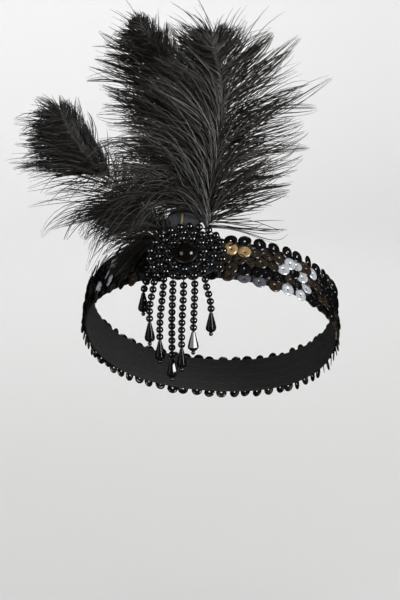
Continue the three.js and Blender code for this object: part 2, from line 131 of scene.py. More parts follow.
class Finish:
    """One material. Its node method makes a node of any type."""

    def __init__(self, name):
        self.material = bpy.data.materials.new(name)
        self.material.use_nodes = True
        self.tree = self.material.node_tree
        self.tree.nodes.clear()

    def node(self, kind, settings=None, sockets=None, output=0):
        made = self.tree.nodes.new(kind)
        for key, value in (settings or {}).items():
            setattr(made, key, value)
        for key, value in (sockets or {}).items():
            self.feed(made.inputs[key], value)
        return Wire(self, made.outputs[output]) if made.outputs else None

    def feed(self, socket, value):
        if isinstance(value, Wire):
            self.tree.links.new(value.socket, socket)
        else:
            socket.default_value = value

    def place(self):
        return self.node("ShaderNodeTexCoord", output="Object")

    def noise(self, vector, scale, detail=2.0):
        return self.node("ShaderNodeTexNoise", None, {"Vector": vector, "Scale": scale, "Detail": detail})

    def blend(self, share, first, second):
        sockets = {0: share, 6: colour_of(first), 7: colour_of(second)}
        return self.node("ShaderNodeMix", {"data_type": "RGBA"}, sockets, output=2)

    def bump(self, height, depth):
        return self.node("ShaderNodeBump", None, {"Height": height, "Distance": depth, "Strength": 1.0})

    def surface(self, sockets):
        shader = self.node("ShaderNodeBsdfPrincipled", None, sockets)
        self.node("ShaderNodeOutputMaterial", None, {"Surface": shader})
        print("finish:", self.material.name)
        return self.material


# %% [markdown]
# ## Meshes from arrays, and modifiers
# Sequins, beads and barbs come in hundreds, so they are joined meshes made from arrays of points and
# corners. Pieces that are made once are modelled by hand with operators. Both kinds end the same way:
# their place is in the mesh, they ride on the part's one body, and they take the place of a solid.


# %% Helpers for pieces
def deselect_all():
    bpy.ops.object.select_all(action="DESELECT")


def choose(piece, kind, wanted):
    """Opens a piece for editing with only those of its VERT, EDGE or FACE elements selected that pass."""
    bpy.ops.object.mode_set(mode="EDIT")
    bpy.ops.mesh.select_mode(type=kind)
    bpy.ops.mesh.select_all(action="DESELECT")
    bpy.ops.object.mode_set(mode="OBJECT")
    mesh = piece.data
    for element in {"VERT": mesh.vertices, "EDGE": mesh.edges, "FACE": mesh.polygons}[kind]:
        element.select = wanted(element)
    bpy.ops.object.mode_set(mode="EDIT")


def mesh_piece(name, points, corners, material):
    """A new object from points and faces that all have the same number of corners."""
    mesh = bpy.data.meshes.new(name)
    mesh.vertices.add(len(points))
    mesh.vertices.foreach_set("co", np.asarray(points, np.float32).ravel())
    mesh.loops.add(corners.size)
    mesh.loops.foreach_set("vertex_index", corners.astype(np.int32).ravel())
    mesh.polygons.add(len(corners))
    mesh.polygons.foreach_set("loop_start", np.arange(0, corners.size, corners.shape[1], dtype=np.int32))
    mesh.update(calc_edges=True)
    mesh.shade_smooth()
    mesh.materials.append(material)
    piece = bpy.data.objects.new(name, mesh)
    bpy.context.scene.collection.objects.link(piece)
    return piece


def apply_modifier(piece, kind, **settings):
    """Adds one modifier and applies it."""
    modifier = piece.modifiers.new(kind.title(), kind)
    for key, value in settings.items():
        setattr(modifier, key, value)
    deselect_all()
    piece.select_set(True)
    bpy.context.view_layer.objects.active = piece
    bpy.ops.object.modifier_apply(modifier=modifier.name)


def take_place(piece, slot, *nodes):
    """The piece rides on the headband and stands for these solids."""
    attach(piece, "root")
    if nodes:
        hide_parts(*nodes)
    print(piece.name, "stands for", nodes or "nothing", "with", len(piece.data.polygons), "faces")


def unit(vectors):
    return vectors / np.linalg.norm(vectors, axis=-1, keepdims=True)


# %% [markdown]
# ## The ring of the band
# Everything sits on one ring: a rounded oblong, tipped up at the front and lowered a little on its
# right. A place on the band is a walk along it from the front, a height across it and a distance
# outwards. The wall leans backwards in front and the other way at the back. We could bend a straight
# strip with a modifier, but with a formula every bead can find its place on the wall too.

# %% Places on the band's wall
HALF_WIDTH = 75 * MM
HALF_DEPTH = 95 * MM
SQUARENESS = 2.2
TIP_UP = math.radians(39)
LOWER_RIGHT = math.radians(4)
LEAN_FRONT = math.radians(8)
LEAN_NAPE = math.radians(-6)
WALK_STEPS = 4001
WORN = np.array(Matrix.Rotation(-TIP_UP, 3, "X") @ Matrix.Rotation(LOWER_RIGHT, 3, "Y"))


def rounded(value):
    return np.sign(value) * np.abs(value) ** (2 / SQUARENESS)


def ring_line(turn):
    return HALF_WIDTH * rounded(np.sin(turn)), -HALF_DEPTH * rounded(np.cos(turn))


turns = np.linspace(0, 2 * np.pi, WALK_STEPS)
ring_x, ring_y = ring_line(turns)
ring_walk = np.concatenate([[0], np.cumsum(np.hypot(np.diff(ring_x), np.diff(ring_y)))])
RING_LENGTH = ring_walk[-1]
print("band length in mm:", round(RING_LENGTH / MM, 1))


# %% Directions of the wall
def wall_frame(walk):
    """Middle of the wall and its along, up and out directions, for walks from the front."""
    turn = np.interp(np.mod(walk, RING_LENGTH), ring_walk, turns)
    x, y = ring_line(turn)
    slope_x = np.sign(x) * np.abs(x / HALF_WIDTH) ** (SQUARENESS - 1) / HALF_WIDTH
    slope_y = np.sign(y) * np.abs(y / HALF_DEPTH) ** (SQUARENESS - 1) / HALF_DEPTH
    level = unit(np.stack([slope_x, slope_y, np.zeros_like(x)], -1))
    plumb = np.array([0.0, 0.0, 1.0])
    lean = np.interp(-y / HALF_DEPTH, [-1, 1], [LEAN_NAPE, LEAN_FRONT])[..., None]
    out = np.cos(lean) * level + np.sin(lean) * plumb
    up = np.cos(lean) * plumb - np.sin(lean) * level
    along = np.cross(up, out)
    middle = np.stack([x, y, np.zeros_like(x)], -1)
    return [part @ WORN.T for part in (middle, along, up, out)]


def wall_point(walk, height, outwards):
    middle, _, up, out = wall_frame(np.asarray(walk, float))
    return middle + up * np.asarray(height)[..., None] + out * np.asarray(outwards)[..., None]


print("front of the band at mm:", np.round(wall_point(0.0, 0.0, 0.0) / MM, 1))

# %% [markdown]
# ## The stretch band
# The band is a knitted elastic loop. It could be a plain strip with a picture of knitting, but we see
# it from inside and from behind, so it is a real loop with a wall, and the rows of knit loops are a
# bump that follows its own length and width, kept in a UV map in metres.

# %% Finish of the elastic
KNIT_LOOPS = 2 * math.pi / (1.1 * MM)
KNIT_RIBS = 2 * math.pi / (1.5 * MM)


def knit_finish():
    finish = Finish("black_knit_elastic")
    cloth = finish.node("ShaderNodeUVMap", {"uv_map": "cloth"})
    along = finish.node("ShaderNodeSeparateXYZ", None, {0: cloth}, output="X")
    across = finish.node("ShaderNodeSeparateXYZ", None, {0: cloth}, output="Y")
    loops = (along * KNIT_LOOPS).sine()
    ribs = (across * KNIT_RIBS + loops * 0.8).sine()
    fuzz = finish.noise(finish.place(), 2600.0)
    height = ribs * 0.35 + loops * 0.25 + fuzz * 0.5
    shade = finish.blend(fuzz, (0.004, 0.004, 0.005), (0.03, 0.029, 0.03))
    return finish.surface({
        "Base Color": shade,
        "Roughness": 0.75 + fuzz * 0.2,
        "Normal": finish.bump(height, 0.25 * MM),
    })


knit = knit_finish()

# %% The elastic loop
BAND_WIDTH = 24 * MM
BAND_THICKNESS = 1.2 * MM
BAND_EDGE = 0.35 * MM
BAND_COLUMNS = 232
BAND_ROWS = 13

walks = np.arange(BAND_COLUMNS) * RING_LENGTH / BAND_COLUMNS
heights = np.linspace(-BAND_WIDTH / 2, BAND_WIDTH / 2, BAND_ROWS)
walk_grid, height_grid = np.meshgrid(walks, heights, indexing="ij")
band_points = wall_point(walk_grid, height_grid, np.zeros_like(walk_grid)).reshape(-1, 3)
column, row = np.meshgrid(np.arange(BAND_COLUMNS), np.arange(BAND_ROWS - 1), indexing="ij")
corner_columns = np.stack([column, column + 1, column + 1, column], -1).reshape(-1, 4)
corner_rows = np.stack([row, row, row + 1, row + 1], -1).reshape(-1, 4)
band_corners = (corner_columns % BAND_COLUMNS) * BAND_ROWS + corner_rows
elastic = mesh_piece("stretch_elastic", band_points, band_corners, knit)
cloth_map = elastic.data.uv_layers.new(name="cloth")
cloth_uv = np.stack([corner_columns * RING_LENGTH / BAND_COLUMNS, heights[corner_rows]], -1)
cloth_map.data.foreach_set("uv", cloth_uv.astype(np.float32).ravel())
apply_modifier(elastic, "SOLIDIFY", thickness=BAND_THICKNESS, offset=0.0)
apply_modifier(elastic, "BEVEL", width=BAND_EDGE, segments=2, limit_method="ANGLE")
take_place(elastic, "elastic", "stretch_band")

# %% [markdown]
# ## The sequins
# Each sequin is a little cup of film with a hole in the middle, sewn in five rows so that each one
# lies over the edge of the next. A sleeve with a bump would be quicker, but it has no edges to overlap.
# So we model one cup as rings of points, then stamp it along the rows with a tilt that differs a little
# from one to the next. That tilt is what makes some of them flash.

# %% One cup of film
SEQUIN_RADIUS = 3.75 * MM
SEQUIN_HOLE = 0.5 * MM
SEQUIN_SIDES = 16
FILM = 0.16 * MM
CUP_DEPTH = 0.32 * MM

cup_rings = [
    (SEQUIN_HOLE, 0.0),
    (0.55 * SEQUIN_RADIUS, 0.25 * CUP_DEPTH),
    (SEQUIN_RADIUS, CUP_DEPTH),
    (SEQUIN_RADIUS, CUP_DEPTH - FILM),
    (SEQUIN_HOLE, -FILM),
]
ring_turns = np.arange(SEQUIN_SIDES) * 2 * np.pi / SEQUIN_SIDES
cup = np.array([
    (radius * np.cos(turn), radius * np.sin(turn), height - CUP_DEPTH / 2)
    for radius, height in cup_rings
    for turn in ring_turns
])


def wrapped_rings(rings, sides):
    """Faces of a closed tube of rings whose last ring joins the first."""
    ring, side = np.meshgrid(np.arange(rings), np.arange(sides), indexing="ij")
    next_ring = (ring + 1) % rings
    next_side = (side + 1) % sides
    corner_rings = np.stack([ring, ring, next_ring, next_ring], -1)
    corner_sides = np.stack([side, next_side, next_side, side], -1)
    return (corner_rings * sides + corner_sides).reshape(-1, 4)


cup_faces = wrapped_rings(len(cup_rings), SEQUIN_SIDES)[:, ::-1]
print("one sequin has", len(cup_faces), "faces")

# %% Rows of sequins
ROW_COUNTS = np.array([64, 82, 82, 82, 64])
ROW_PITCH = 5.9 * MM
SEQUIN_HEIGHT = 1.75 * MM
SHINGLE = math.radians(7)
LOWER_EDGE_LIFT = math.radians(6)
TILT_SPREAD = math.radians(7.5)
WALK_STRAY = 0.6 * MM
RISE_STRAY = 0.4 * MM

chance = np.random.default_rng(7)
sequin_row = np.repeat(np.arange(len(ROW_COUNTS)), ROW_COUNTS)
sequin_step = np.concatenate([np.arange(count) for count in ROW_COUNTS])
sequins = len(sequin_row)
sequin_pitch = RING_LENGTH / ROW_COUNTS[sequin_row]
sequin_walk = (sequin_step + 0.5 * (sequin_row % 2)) * sequin_pitch
sequin_walk += chance.normal(0, WALK_STRAY, sequins)
sequin_rise = (sequin_row - (len(ROW_COUNTS) - 1) / 2) * ROW_PITCH
sequin_rise += chance.normal(0, RISE_STRAY, sequins)
shingle = SHINGLE + chance.normal(0, TILT_SPREAD, sequins)
lift = LOWER_EDGE_LIFT + chance.normal(0, TILT_SPREAD, sequins)


def sequin_frames(walk, shingle, lift):
    """Sideways, up and facing directions of each cup, tipped away from the wall's own."""
    along, up, out = wall_frame(walk)[1:]
    side = unit(along + out * np.tan(shingle)[:, None])
    rise = unit(up - out * np.tan(lift)[:, None])
    facing = unit(np.cross(side, rise))
    return side, np.cross(facing, side), facing


side, rise, facing = sequin_frames(sequin_walk, shingle, lift)
centres = wall_point(sequin_walk, sequin_rise, np.full(sequins, SEQUIN_HEIGHT))
sequin_points = (
    centres[:, None]
    + cup[None, :, 0:1] * side[:, None]
    + cup[None, :, 1:2] * rise[:, None]
    + cup[None, :, 2:3] * facing[:, None]
).reshape(-1, 3)
sequin_faces = (cup_faces[None] + np.arange(sequins)[:, None, None] * len(cup)).reshape(-1, 4)
print("sequins:", sequins, "pitch in mm:", np.unique(np.round(sequin_pitch / MM, 1)))

# %% [markdown]
# ### Tones of the film
# The film is black, but it is never quite even: some cups look brown or olive. A pair near the rosette
# carries a painted golden reflection, and a patch on the right and a few on the left carry a painted white
# glint, where tilted film would catch the light. We could paint them with a noise, but then a tone would run
# from one cup to the next. So each cup gets one tone, kept as an attribute.

# %% Tones
# Film colours, and two painted ones: a painted white glint and a painted golden reflection.
TONES = {
    "black": (0.006, 0.006, 0.007),
    "brown": (0.042, 0.029, 0.02),
    "olive": (0.035, 0.031, 0.02),
    "lilac": (0.16, 0.16, 0.2),
    "silver": (0.72, 0.75, 0.8),
    "painted_gold_reflection": (0.6, 0.4, 0.19),
}
# Cups given one by one another tone; the golden pair is a painted reflection and the white ones are painted
# glints.
ODD_TONES_AND_GLINTS = {
    # row from the lowest, and steps from the front
    "painted_gold_reflection": [(3, 1), (3, 2)],
    "lilac": [(0, 2), (0, 3)],
    "brown": [(0, 4), (2, 2), (2, 3), (3, 4)],
    "olive": [(2, 4), (3, 3)],
    "silver": [
        (2, 6), (3, 6), (3, 7), (3, 9), (2, 8), (1, 8), (0, 5), (0, 6),
        (4, 55), (3, 72), (2, 72), (1, 70), (1, 72),
    ],
}
BROWN_SHARE = 0.28
OLIVE_SHARE = 0.1

tone = np.tile(np.array(TONES["black"]), (sequins, 1))
tone[chance.random(sequins) < BROWN_SHARE] = TONES["brown"]
tone[chance.random(sequins) < OLIVE_SHARE] = TONES["olive"]
for name, places in ODD_TONES_AND_GLINTS.items():
    for row, step in places:
        tone[(sequin_row == row) & (sequin_step == step)] = TONES[name]
film_tone_and_glints = np.repeat(np.concatenate([tone, np.ones((sequins, 1))], 1), len(cup), axis=0)
print("sequins that aren't black:", np.count_nonzero(np.any(tone != TONES["black"], axis=1)))


# %% Finish of the film
def film_finish():
    finish = Finish("sequin_film")
    # tone carries each cup's film colour, and for a few cups a painted white glint and a painted golden
    # reflection instead.
    tone = finish.node("ShaderNodeAttribute", {"attribute_name": "tone"}, output="Color")
    clouding = finish.noise(finish.place(), 420.0)
    scuffs = finish.noise(finish.place(), 3200.0, 3.0)
    shade = finish.blend(clouding * 0.35, tone, (0.02, 0.016, 0.012))
    return finish.surface({
        "Base Color": shade,
        "Metallic": 0.35,
        "Roughness": 0.1 + scuffs * 0.16,
        "Coat Weight": 0.4,
        "Coat Roughness": 0.08,
        "Normal": finish.bump(scuffs, 0.03 * MM),
    })


film = film_finish()

# %% The sequin piece
sequin_cups = mesh_piece("sequin_cups", sequin_points, sequin_faces, film)
tone_layer = sequin_cups.data.color_attributes.new("tone", "FLOAT_COLOR", "POINT")
tone_layer.data.foreach_set("color", film_tone_and_glints.astype(np.float32).ravel())
take_place(sequin_cups, "sequins", "sequin_field")

# %% [markdown]
# ## Tubes from paths
# Threads, quills and barbs are all thin tapering tubes along a path. Curves with a bevel would give them
# one by one, which is slow for thousands. One function makes any number of them at once: it lays a ring
# of points round each step of each path and closes both ends.


# %% Many tubes at once
def tubes(paths, radii, sides, reference):
    """Points and triangles of closed tubes along paths[tube, step], with radii[tube, step]."""
    count, steps, _ = paths.shape
    tangent = unit(np.gradient(paths, axis=1))
    wide = unit(np.cross(tangent, np.asarray(reference, float)))
    deep = np.cross(tangent, wide)
    turn = np.arange(sides) * 2 * np.pi / sides
    ring = np.cos(turn)[:, None] * wide[:, :, None] + np.sin(turn)[:, None] * deep[:, :, None]
    body = (paths[:, :, None] + radii[:, :, None, None] * ring).reshape(count, -1, 3)
    points = np.concatenate([body, paths[:, :1], paths[:, -1:]], 1)
    step, side = np.meshgrid(np.arange(steps - 1), np.arange(sides), indexing="ij")
    this = step * sides + side
    beside = step * sides + (side + 1) % sides
    first = np.stack([this, beside, this + sides], -1).reshape(-1, 3)
    second = np.stack([beside, beside + sides, this + sides], -1).reshape(-1, 3)
    loop = np.arange(sides)
    follow = (loop + 1) % sides
    foot = np.stack([follow, loop, np.full(sides, steps * sides)], -1)
    last = (steps - 1) * sides
    tip = np.stack([last + loop, last + follow, np.full(sides, steps * sides + 1)], -1)
    one = np.concatenate([first, second, foot, tip])
    triangles = one[None] + (np.arange(count) * points.shape[1])[:, None, None]
    return points.reshape(-1, 3), triangles.reshape(-1, 3)


def joined(parts):
    """Several sets of points and triangles as one."""
    starts = np.cumsum([0] + [len(points) for points, faces in parts[:-1]])
    points = np.concatenate([points for points, faces in parts])
    faces = np.concatenate([faces + start for (points, faces), start in zip(parts, starts)])
    return points, faces


# %% [markdown]
# ## The sewing inside the band
# On the inner face of the elastic each row of sequins shows as a line of short stitches. A bump could
# draw them, but they are what we see when we look into the band, so they are small arched tubes, one
# for each sequin.


# %% Finish of the thread
def thread_finish():
    finish = Finish("black_sewing_thread")
    twist = finish.noise(finish.place(), 5200.0)
    shade = finish.blend(twist, (0.008, 0.008, 0.008), (0.05, 0.048, 0.046))
    return finish.surface({
        "Base Color": shade,
        "Roughness": 0.5 + twist * 0.25,
        "Normal": finish.bump(twist, 0.05 * MM),
    })


thread = thread_finish()

# %% Stitches
STITCH_RADIUS = 0.22 * MM
STITCH_SPAN = 0.82
STITCH_ARCH = 2.2
STITCH_SUNK = 0.9
STITCH_HIGHEST = 11.4 * MM
STITCH_STEPS = 5
STITCH_SIDES = 5

stitch_share = np.linspace(-0.5, 0.5, STITCH_STEPS)
stitch_walk = sequin_walk[:, None] + stitch_share * sequin_pitch[:, None] * STITCH_SPAN
stitch_height = np.clip(sequin_rise, -STITCH_HIGHEST, STITCH_HIGHEST)
stitch_rise = np.repeat(stitch_height[:, None], STITCH_STEPS, 1)
stitch_arch = STITCH_ARCH * np.cos(np.pi * stitch_share)
stitch_sink = BAND_THICKNESS / 2 + STITCH_RADIUS * (stitch_arch - STITCH_SUNK)
stitch_paths = wall_point(stitch_walk, stitch_rise, -stitch_sink)
stitch_radii = np.full(stitch_walk.shape, STITCH_RADIUS)
stitch_tubes = tubes(stitch_paths, stitch_radii, STITCH_SIDES, WORN @ np.array([0.0, 0.0, 1.0]))
stitches = mesh_piece("sequin_stitches", *stitch_tubes, thread)
take_place(stitches, "elastic")

# %% [markdown]
# ## The rosette's felt
# The rosette is sewn on an oval of black felt with a round tab above it. The felt is a sheet, domed by the
# beads that pull it tight, so it is made as one: rings of points from the middle to the cut edge, raised by
# the crown, and then given its thickness. No bead covers the tab, and its colour grows paler from the foot
# of the tab upwards.

# %% The rosette's own directions
ROSETTE_WALK = -12.6 * MM
ROSETTE_DROP = 3.5 * MM
FELT_BACK = 4.8 * MM
ROSETTE_AXES = np.array([part[0] for part in wall_frame(np.array([ROSETTE_WALK]))[1:]])
ROSETTE_ORIGIN = wall_point(np.array([ROSETTE_WALK]), np.array([-ROSETTE_DROP]), np.array([0.0]))[0]


def on_rosette(points):
    """World points from places along, up and out of the rosette."""
    return ROSETTE_ORIGIN + np.asarray(points, float) @ ROSETTE_AXES


def on_felt(points):
    return on_rosette(np.asarray(points, float) + np.array([0.0, 0.0, FELT_BACK]))


print("rosette at mm:", np.round(ROSETTE_ORIGIN / MM, 1))

# %% Shape of the felt
FELT_HALF_WIDTH = 19.4 * MM
FELT_ABOVE = 17.8 * MM
FELT_BELOW = 13 * MM
FELT_THICKNESS = 1.2 * MM
TAB_RADIUS = 9.3 * MM
TAB_MIDDLE = np.array([-4.5 * MM, 24 * MM])
CROWN_SHARES = [0.0, 0.5, 0.75, 1.0]
CROWN_HEIGHTS = np.array([3.2, 2.7, 2.1, 1.2]) * MM
FELT_SPOKES = 120
FELT_RINGS = 16


def felt_share(x, y):
    """Share of the way from the middle to the edge of the oval, which is lower below than above."""
    return np.hypot(x / FELT_HALF_WIDTH, y / np.where(np.asarray(y) < 0, FELT_BELOW, FELT_ABOVE))


def felt_height(x, y):
    return np.interp(felt_share(x, y), CROWN_SHARES, CROWN_HEIGHTS)


def felt_reach(turn):
    """Distance from the middle to the cut edge: the oval, or the tab where it goes further."""
    heading = np.stack([np.cos(turn), np.sin(turn)], -1)
    oval = 1 / felt_share(heading[:, 0], heading[:, 1])
    nearest = heading @ TAB_MIDDLE
    inside = np.maximum(TAB_RADIUS**2 - (TAB_MIDDLE @ TAB_MIDDLE - nearest**2), 0)
    tab = np.where(nearest > 0, nearest + np.sqrt(inside), 0) * (inside > 0)
    return np.maximum(oval, tab)


spoke = np.arange(FELT_SPOKES) * 2 * np.pi / FELT_SPOKES
reach = felt_reach(spoke)
ring_share = np.linspace(0, 1, FELT_RINGS + 1)[1:]
felt_x = (ring_share[:, None] * reach * np.cos(spoke)).ravel()
felt_y = (ring_share[:, None] * reach * np.sin(spoke)).ravel()

# %% Finish of the felt
TAB_FOOT = 15 * MM
TAB_RISE = 8 * MM
tab_foot = on_rosette([(0, TAB_FOOT, 0)])[0][2]


def felt_finish():
    finish = Finish("black_felt")
    place = finish.place()
    fibres = finish.noise(place, 1500.0, 6.0)
    patches = finish.noise(place, 160.0)
    shade = finish.blend(fibres * 0.6 + patches * 0.4, (0.003, 0.004, 0.005), (0.027, 0.034, 0.04))
    height = finish.node("ShaderNodeSeparateXYZ", None, {0: place}, output="Z")
    # Paler from the foot of the tab upwards.
    paler_upwards = (height - tab_foot) * (1 / TAB_RISE)
    shade = finish.blend(paler_upwards * (0.2 + patches * 0.6), shade, (0.066, 0.077, 0.083))
    return finish.surface({
        "Base Color": shade,
        "Roughness": 0.8 + fibres * 0.15,
        "Sheen Weight": 0.08,
        "Normal": finish.bump(fibres, 0.5 * MM),
    })


felt_black = felt_finish()

# %% The felt piece
rim_points = np.stack([felt_x, felt_y, felt_height(felt_x, felt_y)], -1)
felt_points = np.concatenate([[[0, 0, felt_height(0, 0)]], rim_points])
ring, side = np.meshgrid(np.arange(FELT_RINGS - 1), np.arange(FELT_SPOKES), indexing="ij")
here = 1 + ring * FELT_SPOKES + side
beside = 1 + ring * FELT_SPOKES + (side + 1) % FELT_SPOKES
inner = np.stack([here, here + FELT_SPOKES, beside], -1).reshape(-1, 3)
outer = np.stack([beside, here + FELT_SPOKES, beside + FELT_SPOKES], -1).reshape(-1, 3)
first = np.arange(FELT_SPOKES)
hub = np.stack([np.zeros(FELT_SPOKES, int), 1 + first, 1 + (first + 1) % FELT_SPOKES], -1)
felt = mesh_piece("felt_backing", on_felt(felt_points), np.concatenate([hub, inner, outer]), felt_black)
apply_modifier(felt, "SOLIDIFY", thickness=FELT_THICKNESS, offset=-1.0)
take_place(felt, "felt", "backing")

# %% [markdown]
# ## The black stone
# In the middle sits a domed glass stone on a thin metal cup. The dome is half a ball, cut at its girdle
# and pressed flat. The cup is a short drum with rounded edges, whose top is inset and raised a little as
# a seat for the stone.


# %% Finishes of stone and cup
def stone_finish():
    finish = Finish("black_glass_stone")
    depth = finish.noise(finish.place(), 260.0, 3.0)
    shade = finish.blend(depth, (0.001, 0.001, 0.001), (0.007, 0.0045, 0.003))
    return finish.surface({
        "Base Color": shade,
        "Roughness": 0.02 + depth * 0.04,
        "IOR": 1.45,
    })


def cup_finish():
    finish = Finish("dark_metal_cup")
    wear = finish.noise(finish.place(), 900.0, 3.0)
    shade = finish.blend(wear, (0.012, 0.012, 0.013), (0.07, 0.068, 0.066))
    return finish.surface({
        "Base Color": shade,
        "Metallic": 0.9,
        "Roughness": 0.25 + wear * 0.2,
        "Normal": finish.bump(wear, 0.02 * MM),
    })


black_glass = stone_finish()
dark_metal = cup_finish()

# %% The dome
STONE_RADIUS = 5.8 * MM
STONE_SEAT = 3.5 * MM
CUP_RADIUS = 6.6 * MM
CUP_HEIGHT = 2.0 * MM
DOME_HEIGHT = 5.0 * MM
SEWN_GAP = 0.3 * MM
SMOOTH_BELOW = math.radians(40)


def move_points(piece, place):
    """Moves every point of a piece's mesh by a function on arrays."""
    mesh = piece.data
    points = np.zeros(len(mesh.vertices) * 3, np.float32)
    mesh.vertices.foreach_get("co", points)
    moved = place(points.reshape(-1, 3).astype(float))
    mesh.vertices.foreach_set("co", moved.astype(np.float32).ravel())
    mesh.update()


deselect_all()
bpy.ops.mesh.primitive_uv_sphere_add(segments=48, ring_count=32, radius=STONE_RADIUS)
dome = bpy.context.object
dome.name = "stone_dome"
bpy.ops.object.mode_set(mode="EDIT")
bpy.ops.mesh.select_all(action="SELECT")
bpy.ops.mesh.bisect(plane_co=(0, 0, 0), plane_no=(0, 0, 1), use_fill=True, clear_inner=True)
bpy.ops.mesh.select_all(action="SELECT")
bpy.ops.transform.resize(value=(1, 1, DOME_HEIGHT / STONE_RADIUS), center_override=(0, 0, 0))
bpy.ops.object.mode_set(mode="OBJECT")
bpy.ops.object.shade_smooth_by_angle(angle=SMOOTH_BELOW)
dome.data.materials.append(black_glass)
dome_seat = STONE_SEAT + CUP_HEIGHT + SEWN_GAP
move_points(dome, lambda points: on_felt(points + np.array([0, 0, dome_seat])))
take_place(dome, "stone", "cabochon")

# %% The cup under it
SEAT_INSET = CUP_RADIUS - STONE_RADIUS - 0.1 * MM
SEAT_RISE = 0.4 * MM
CUP_EDGE = 0.3 * MM

deselect_all()
bpy.ops.mesh.primitive_cylinder_add(vertices=48, radius=CUP_RADIUS, depth=CUP_HEIGHT)
stone_cup = bpy.context.object
stone_cup.name = "stone_cup"
choose(stone_cup, "FACE", lambda face: face.normal.z > 0.9)
bpy.ops.mesh.inset(thickness=SEAT_INSET)
bpy.ops.transform.translate(value=(0, 0, SEAT_RISE))
bpy.ops.object.mode_set(mode="OBJECT")
apply_modifier(stone_cup, "BEVEL", width=CUP_EDGE, segments=3, limit_method="ANGLE")
bpy.ops.object.shade_smooth_by_angle(angle=SMOOTH_BELOW)
stone_cup.data.materials.append(dark_metal)
cup_middle = STONE_SEAT + CUP_HEIGHT / 2
move_points(stone_cup, lambda points: on_felt(points + np.array([0, 0, cup_middle])))
take_place(stone_cup, "stone", "cabochon")

# %% [markdown]
# ## Black pearls
# The rosette and its strands are strung with one kind of round black pearl. Plain balls would do from
# afar, but the dimple where the drill came through shows between two of them. So one pearl is modelled,
# a ball whose two poles are pushed in, and it is then stamped on every thread.


# %% Finish of the pearls
def pearl_finish():
    finish = Finish("black_pearl_lacquer")
    place = finish.place()
    clouding = finish.noise(place, 500.0)
    specks = finish.noise(place, 4000.0, 3.0)
    shade = finish.blend(clouding, (0.002, 0.002, 0.002), (0.012, 0.011, 0.01))
    return finish.surface({
        "Base Color": shade,
        "Roughness": 0.04 + specks * 0.05,
        "IOR": 2.0,
        "Normal": finish.bump(specks, 0.003 * MM),
    })


pearl_black = pearl_finish()

# %% One pearl
PEARL_DIAMETER = 4 * MM
POLE_SHARE = 0.49


def model_bead(diameter, segments, rings, drill):
    """Points and triangles of one bead, drilled along Z."""
    deselect_all()
    bpy.ops.mesh.primitive_uv_sphere_add(segments=segments, ring_count=rings, radius=diameter / 2)
    bead = bpy.context.object
    choose(bead, "VERT", lambda vertex: abs(vertex.co.z) > POLE_SHARE * diameter)
    bpy.ops.transform.resize(value=(1, 1, drill), center_override=(0, 0, 0))
    bpy.ops.object.mode_set(mode="OBJECT")
    mesh = bead.data
    mesh.calc_loop_triangles()
    points = np.array([vertex.co for vertex in mesh.vertices])
    faces = np.array([triangle.vertices for triangle in mesh.loop_triangles])
    bpy.data.objects.remove(bead)
    return points, faces


pearl = model_bead(PEARL_DIAMETER, segments=20, rings=12, drill=0.6)
print("one pearl has", len(pearl[1]), "triangles")


# %% Beads on a thread
def string_beads(bead, centres, axes, scale=1.0):
    """One bead stamped at each centre, with its drill hole along each axis."""
    points, faces = bead
    axes = unit(np.asarray(axes, float))
    aid = np.where(np.abs(axes[:, 2:3]) < 0.9, [[0.0, 0.0, 1.0]], [[1.0, 0.0, 0.0]])
    wide = unit(np.cross(aid, axes))
    deep = np.cross(axes, wide)
    scaled = points * scale
    stamped = (
        np.asarray(centres)[:, None]
        + scaled[None, :, 0:1] * wide[:, None]
        + scaled[None, :, 1:2] * deep[:, None]
        + scaled[None, :, 2:3] * axes[:, None]
    )
    numbers = faces[None] + (np.arange(len(stamped)) * len(points))[:, None, None]
    return stamped.reshape(-1, 3), numbers.reshape(-1, 3)


def beaded_piece(name, beads, threads):
    """Beads and their thread as one piece with two finishes."""
    points, faces = joined([beads, threads])
    piece = mesh_piece(name, points, faces, pearl_black)
    piece.data.materials.append(thread)
    finish_index = np.zeros(len(faces), np.int32)
    finish_index[len(beads[1]):] = 1
    piece.data.polygons.foreach_set("material_index", finish_index)
    return piece


# %% [markdown]
# ## The rosette's rings
# Three oval rings of pearls lie on the felt round the stone, the outer one open below. An array along a
# curve would set them too evenly. Real ones are sewn by hand, so each pearl strays a little from its
# place, and small seed beads fill the hollows between the rings.

# %% Rings of pearls
RINGS = {
    # half width, half height, pearls in the whole oval, and those of them that are strung
    "inner": (10.2 * MM, 9.6 * MM, 11, np.arange(11)),
    "middle": (15.2 * MM, 14 * MM, 17, np.arange(17)),
    "outer": (20 * MM, 18.4 * MM, 22, np.arange(4, 20)),
}
PEARL_STRAY = np.array([0.16, 0.16, 0.096]) * MM
THREAD_RADIUS = 0.4 * MM
THREAD_SIDES = 6
THREAD_STEPS = 96
THREAD_END = 0.7
OVAL_STEPS = 2001


def ring_places(half_width, half_height, count, offset=0.0):
    """Places at equal walks round an oval on the felt, from the lowest, and the way along it."""
    fine = np.linspace(0, 2 * np.pi, OVAL_STEPS)
    x = half_width * np.sin(fine)
    y = -half_height * np.cos(fine)
    walk = np.concatenate([[0], np.cumsum(np.hypot(np.diff(x), np.diff(y)))])
    turn = np.interp((np.arange(count) + offset) / count * walk[-1], walk, fine)
    x = half_width * np.sin(turn)
    y = -half_height * np.cos(turn)
    height = felt_height(x, y) + SEWN_GAP + PEARL_DIAMETER / 2
    way = np.stack([half_width * np.cos(turn), half_height * np.sin(turn), 0 * turn], -1)
    return np.stack([x, y, height], -1), unit(way)


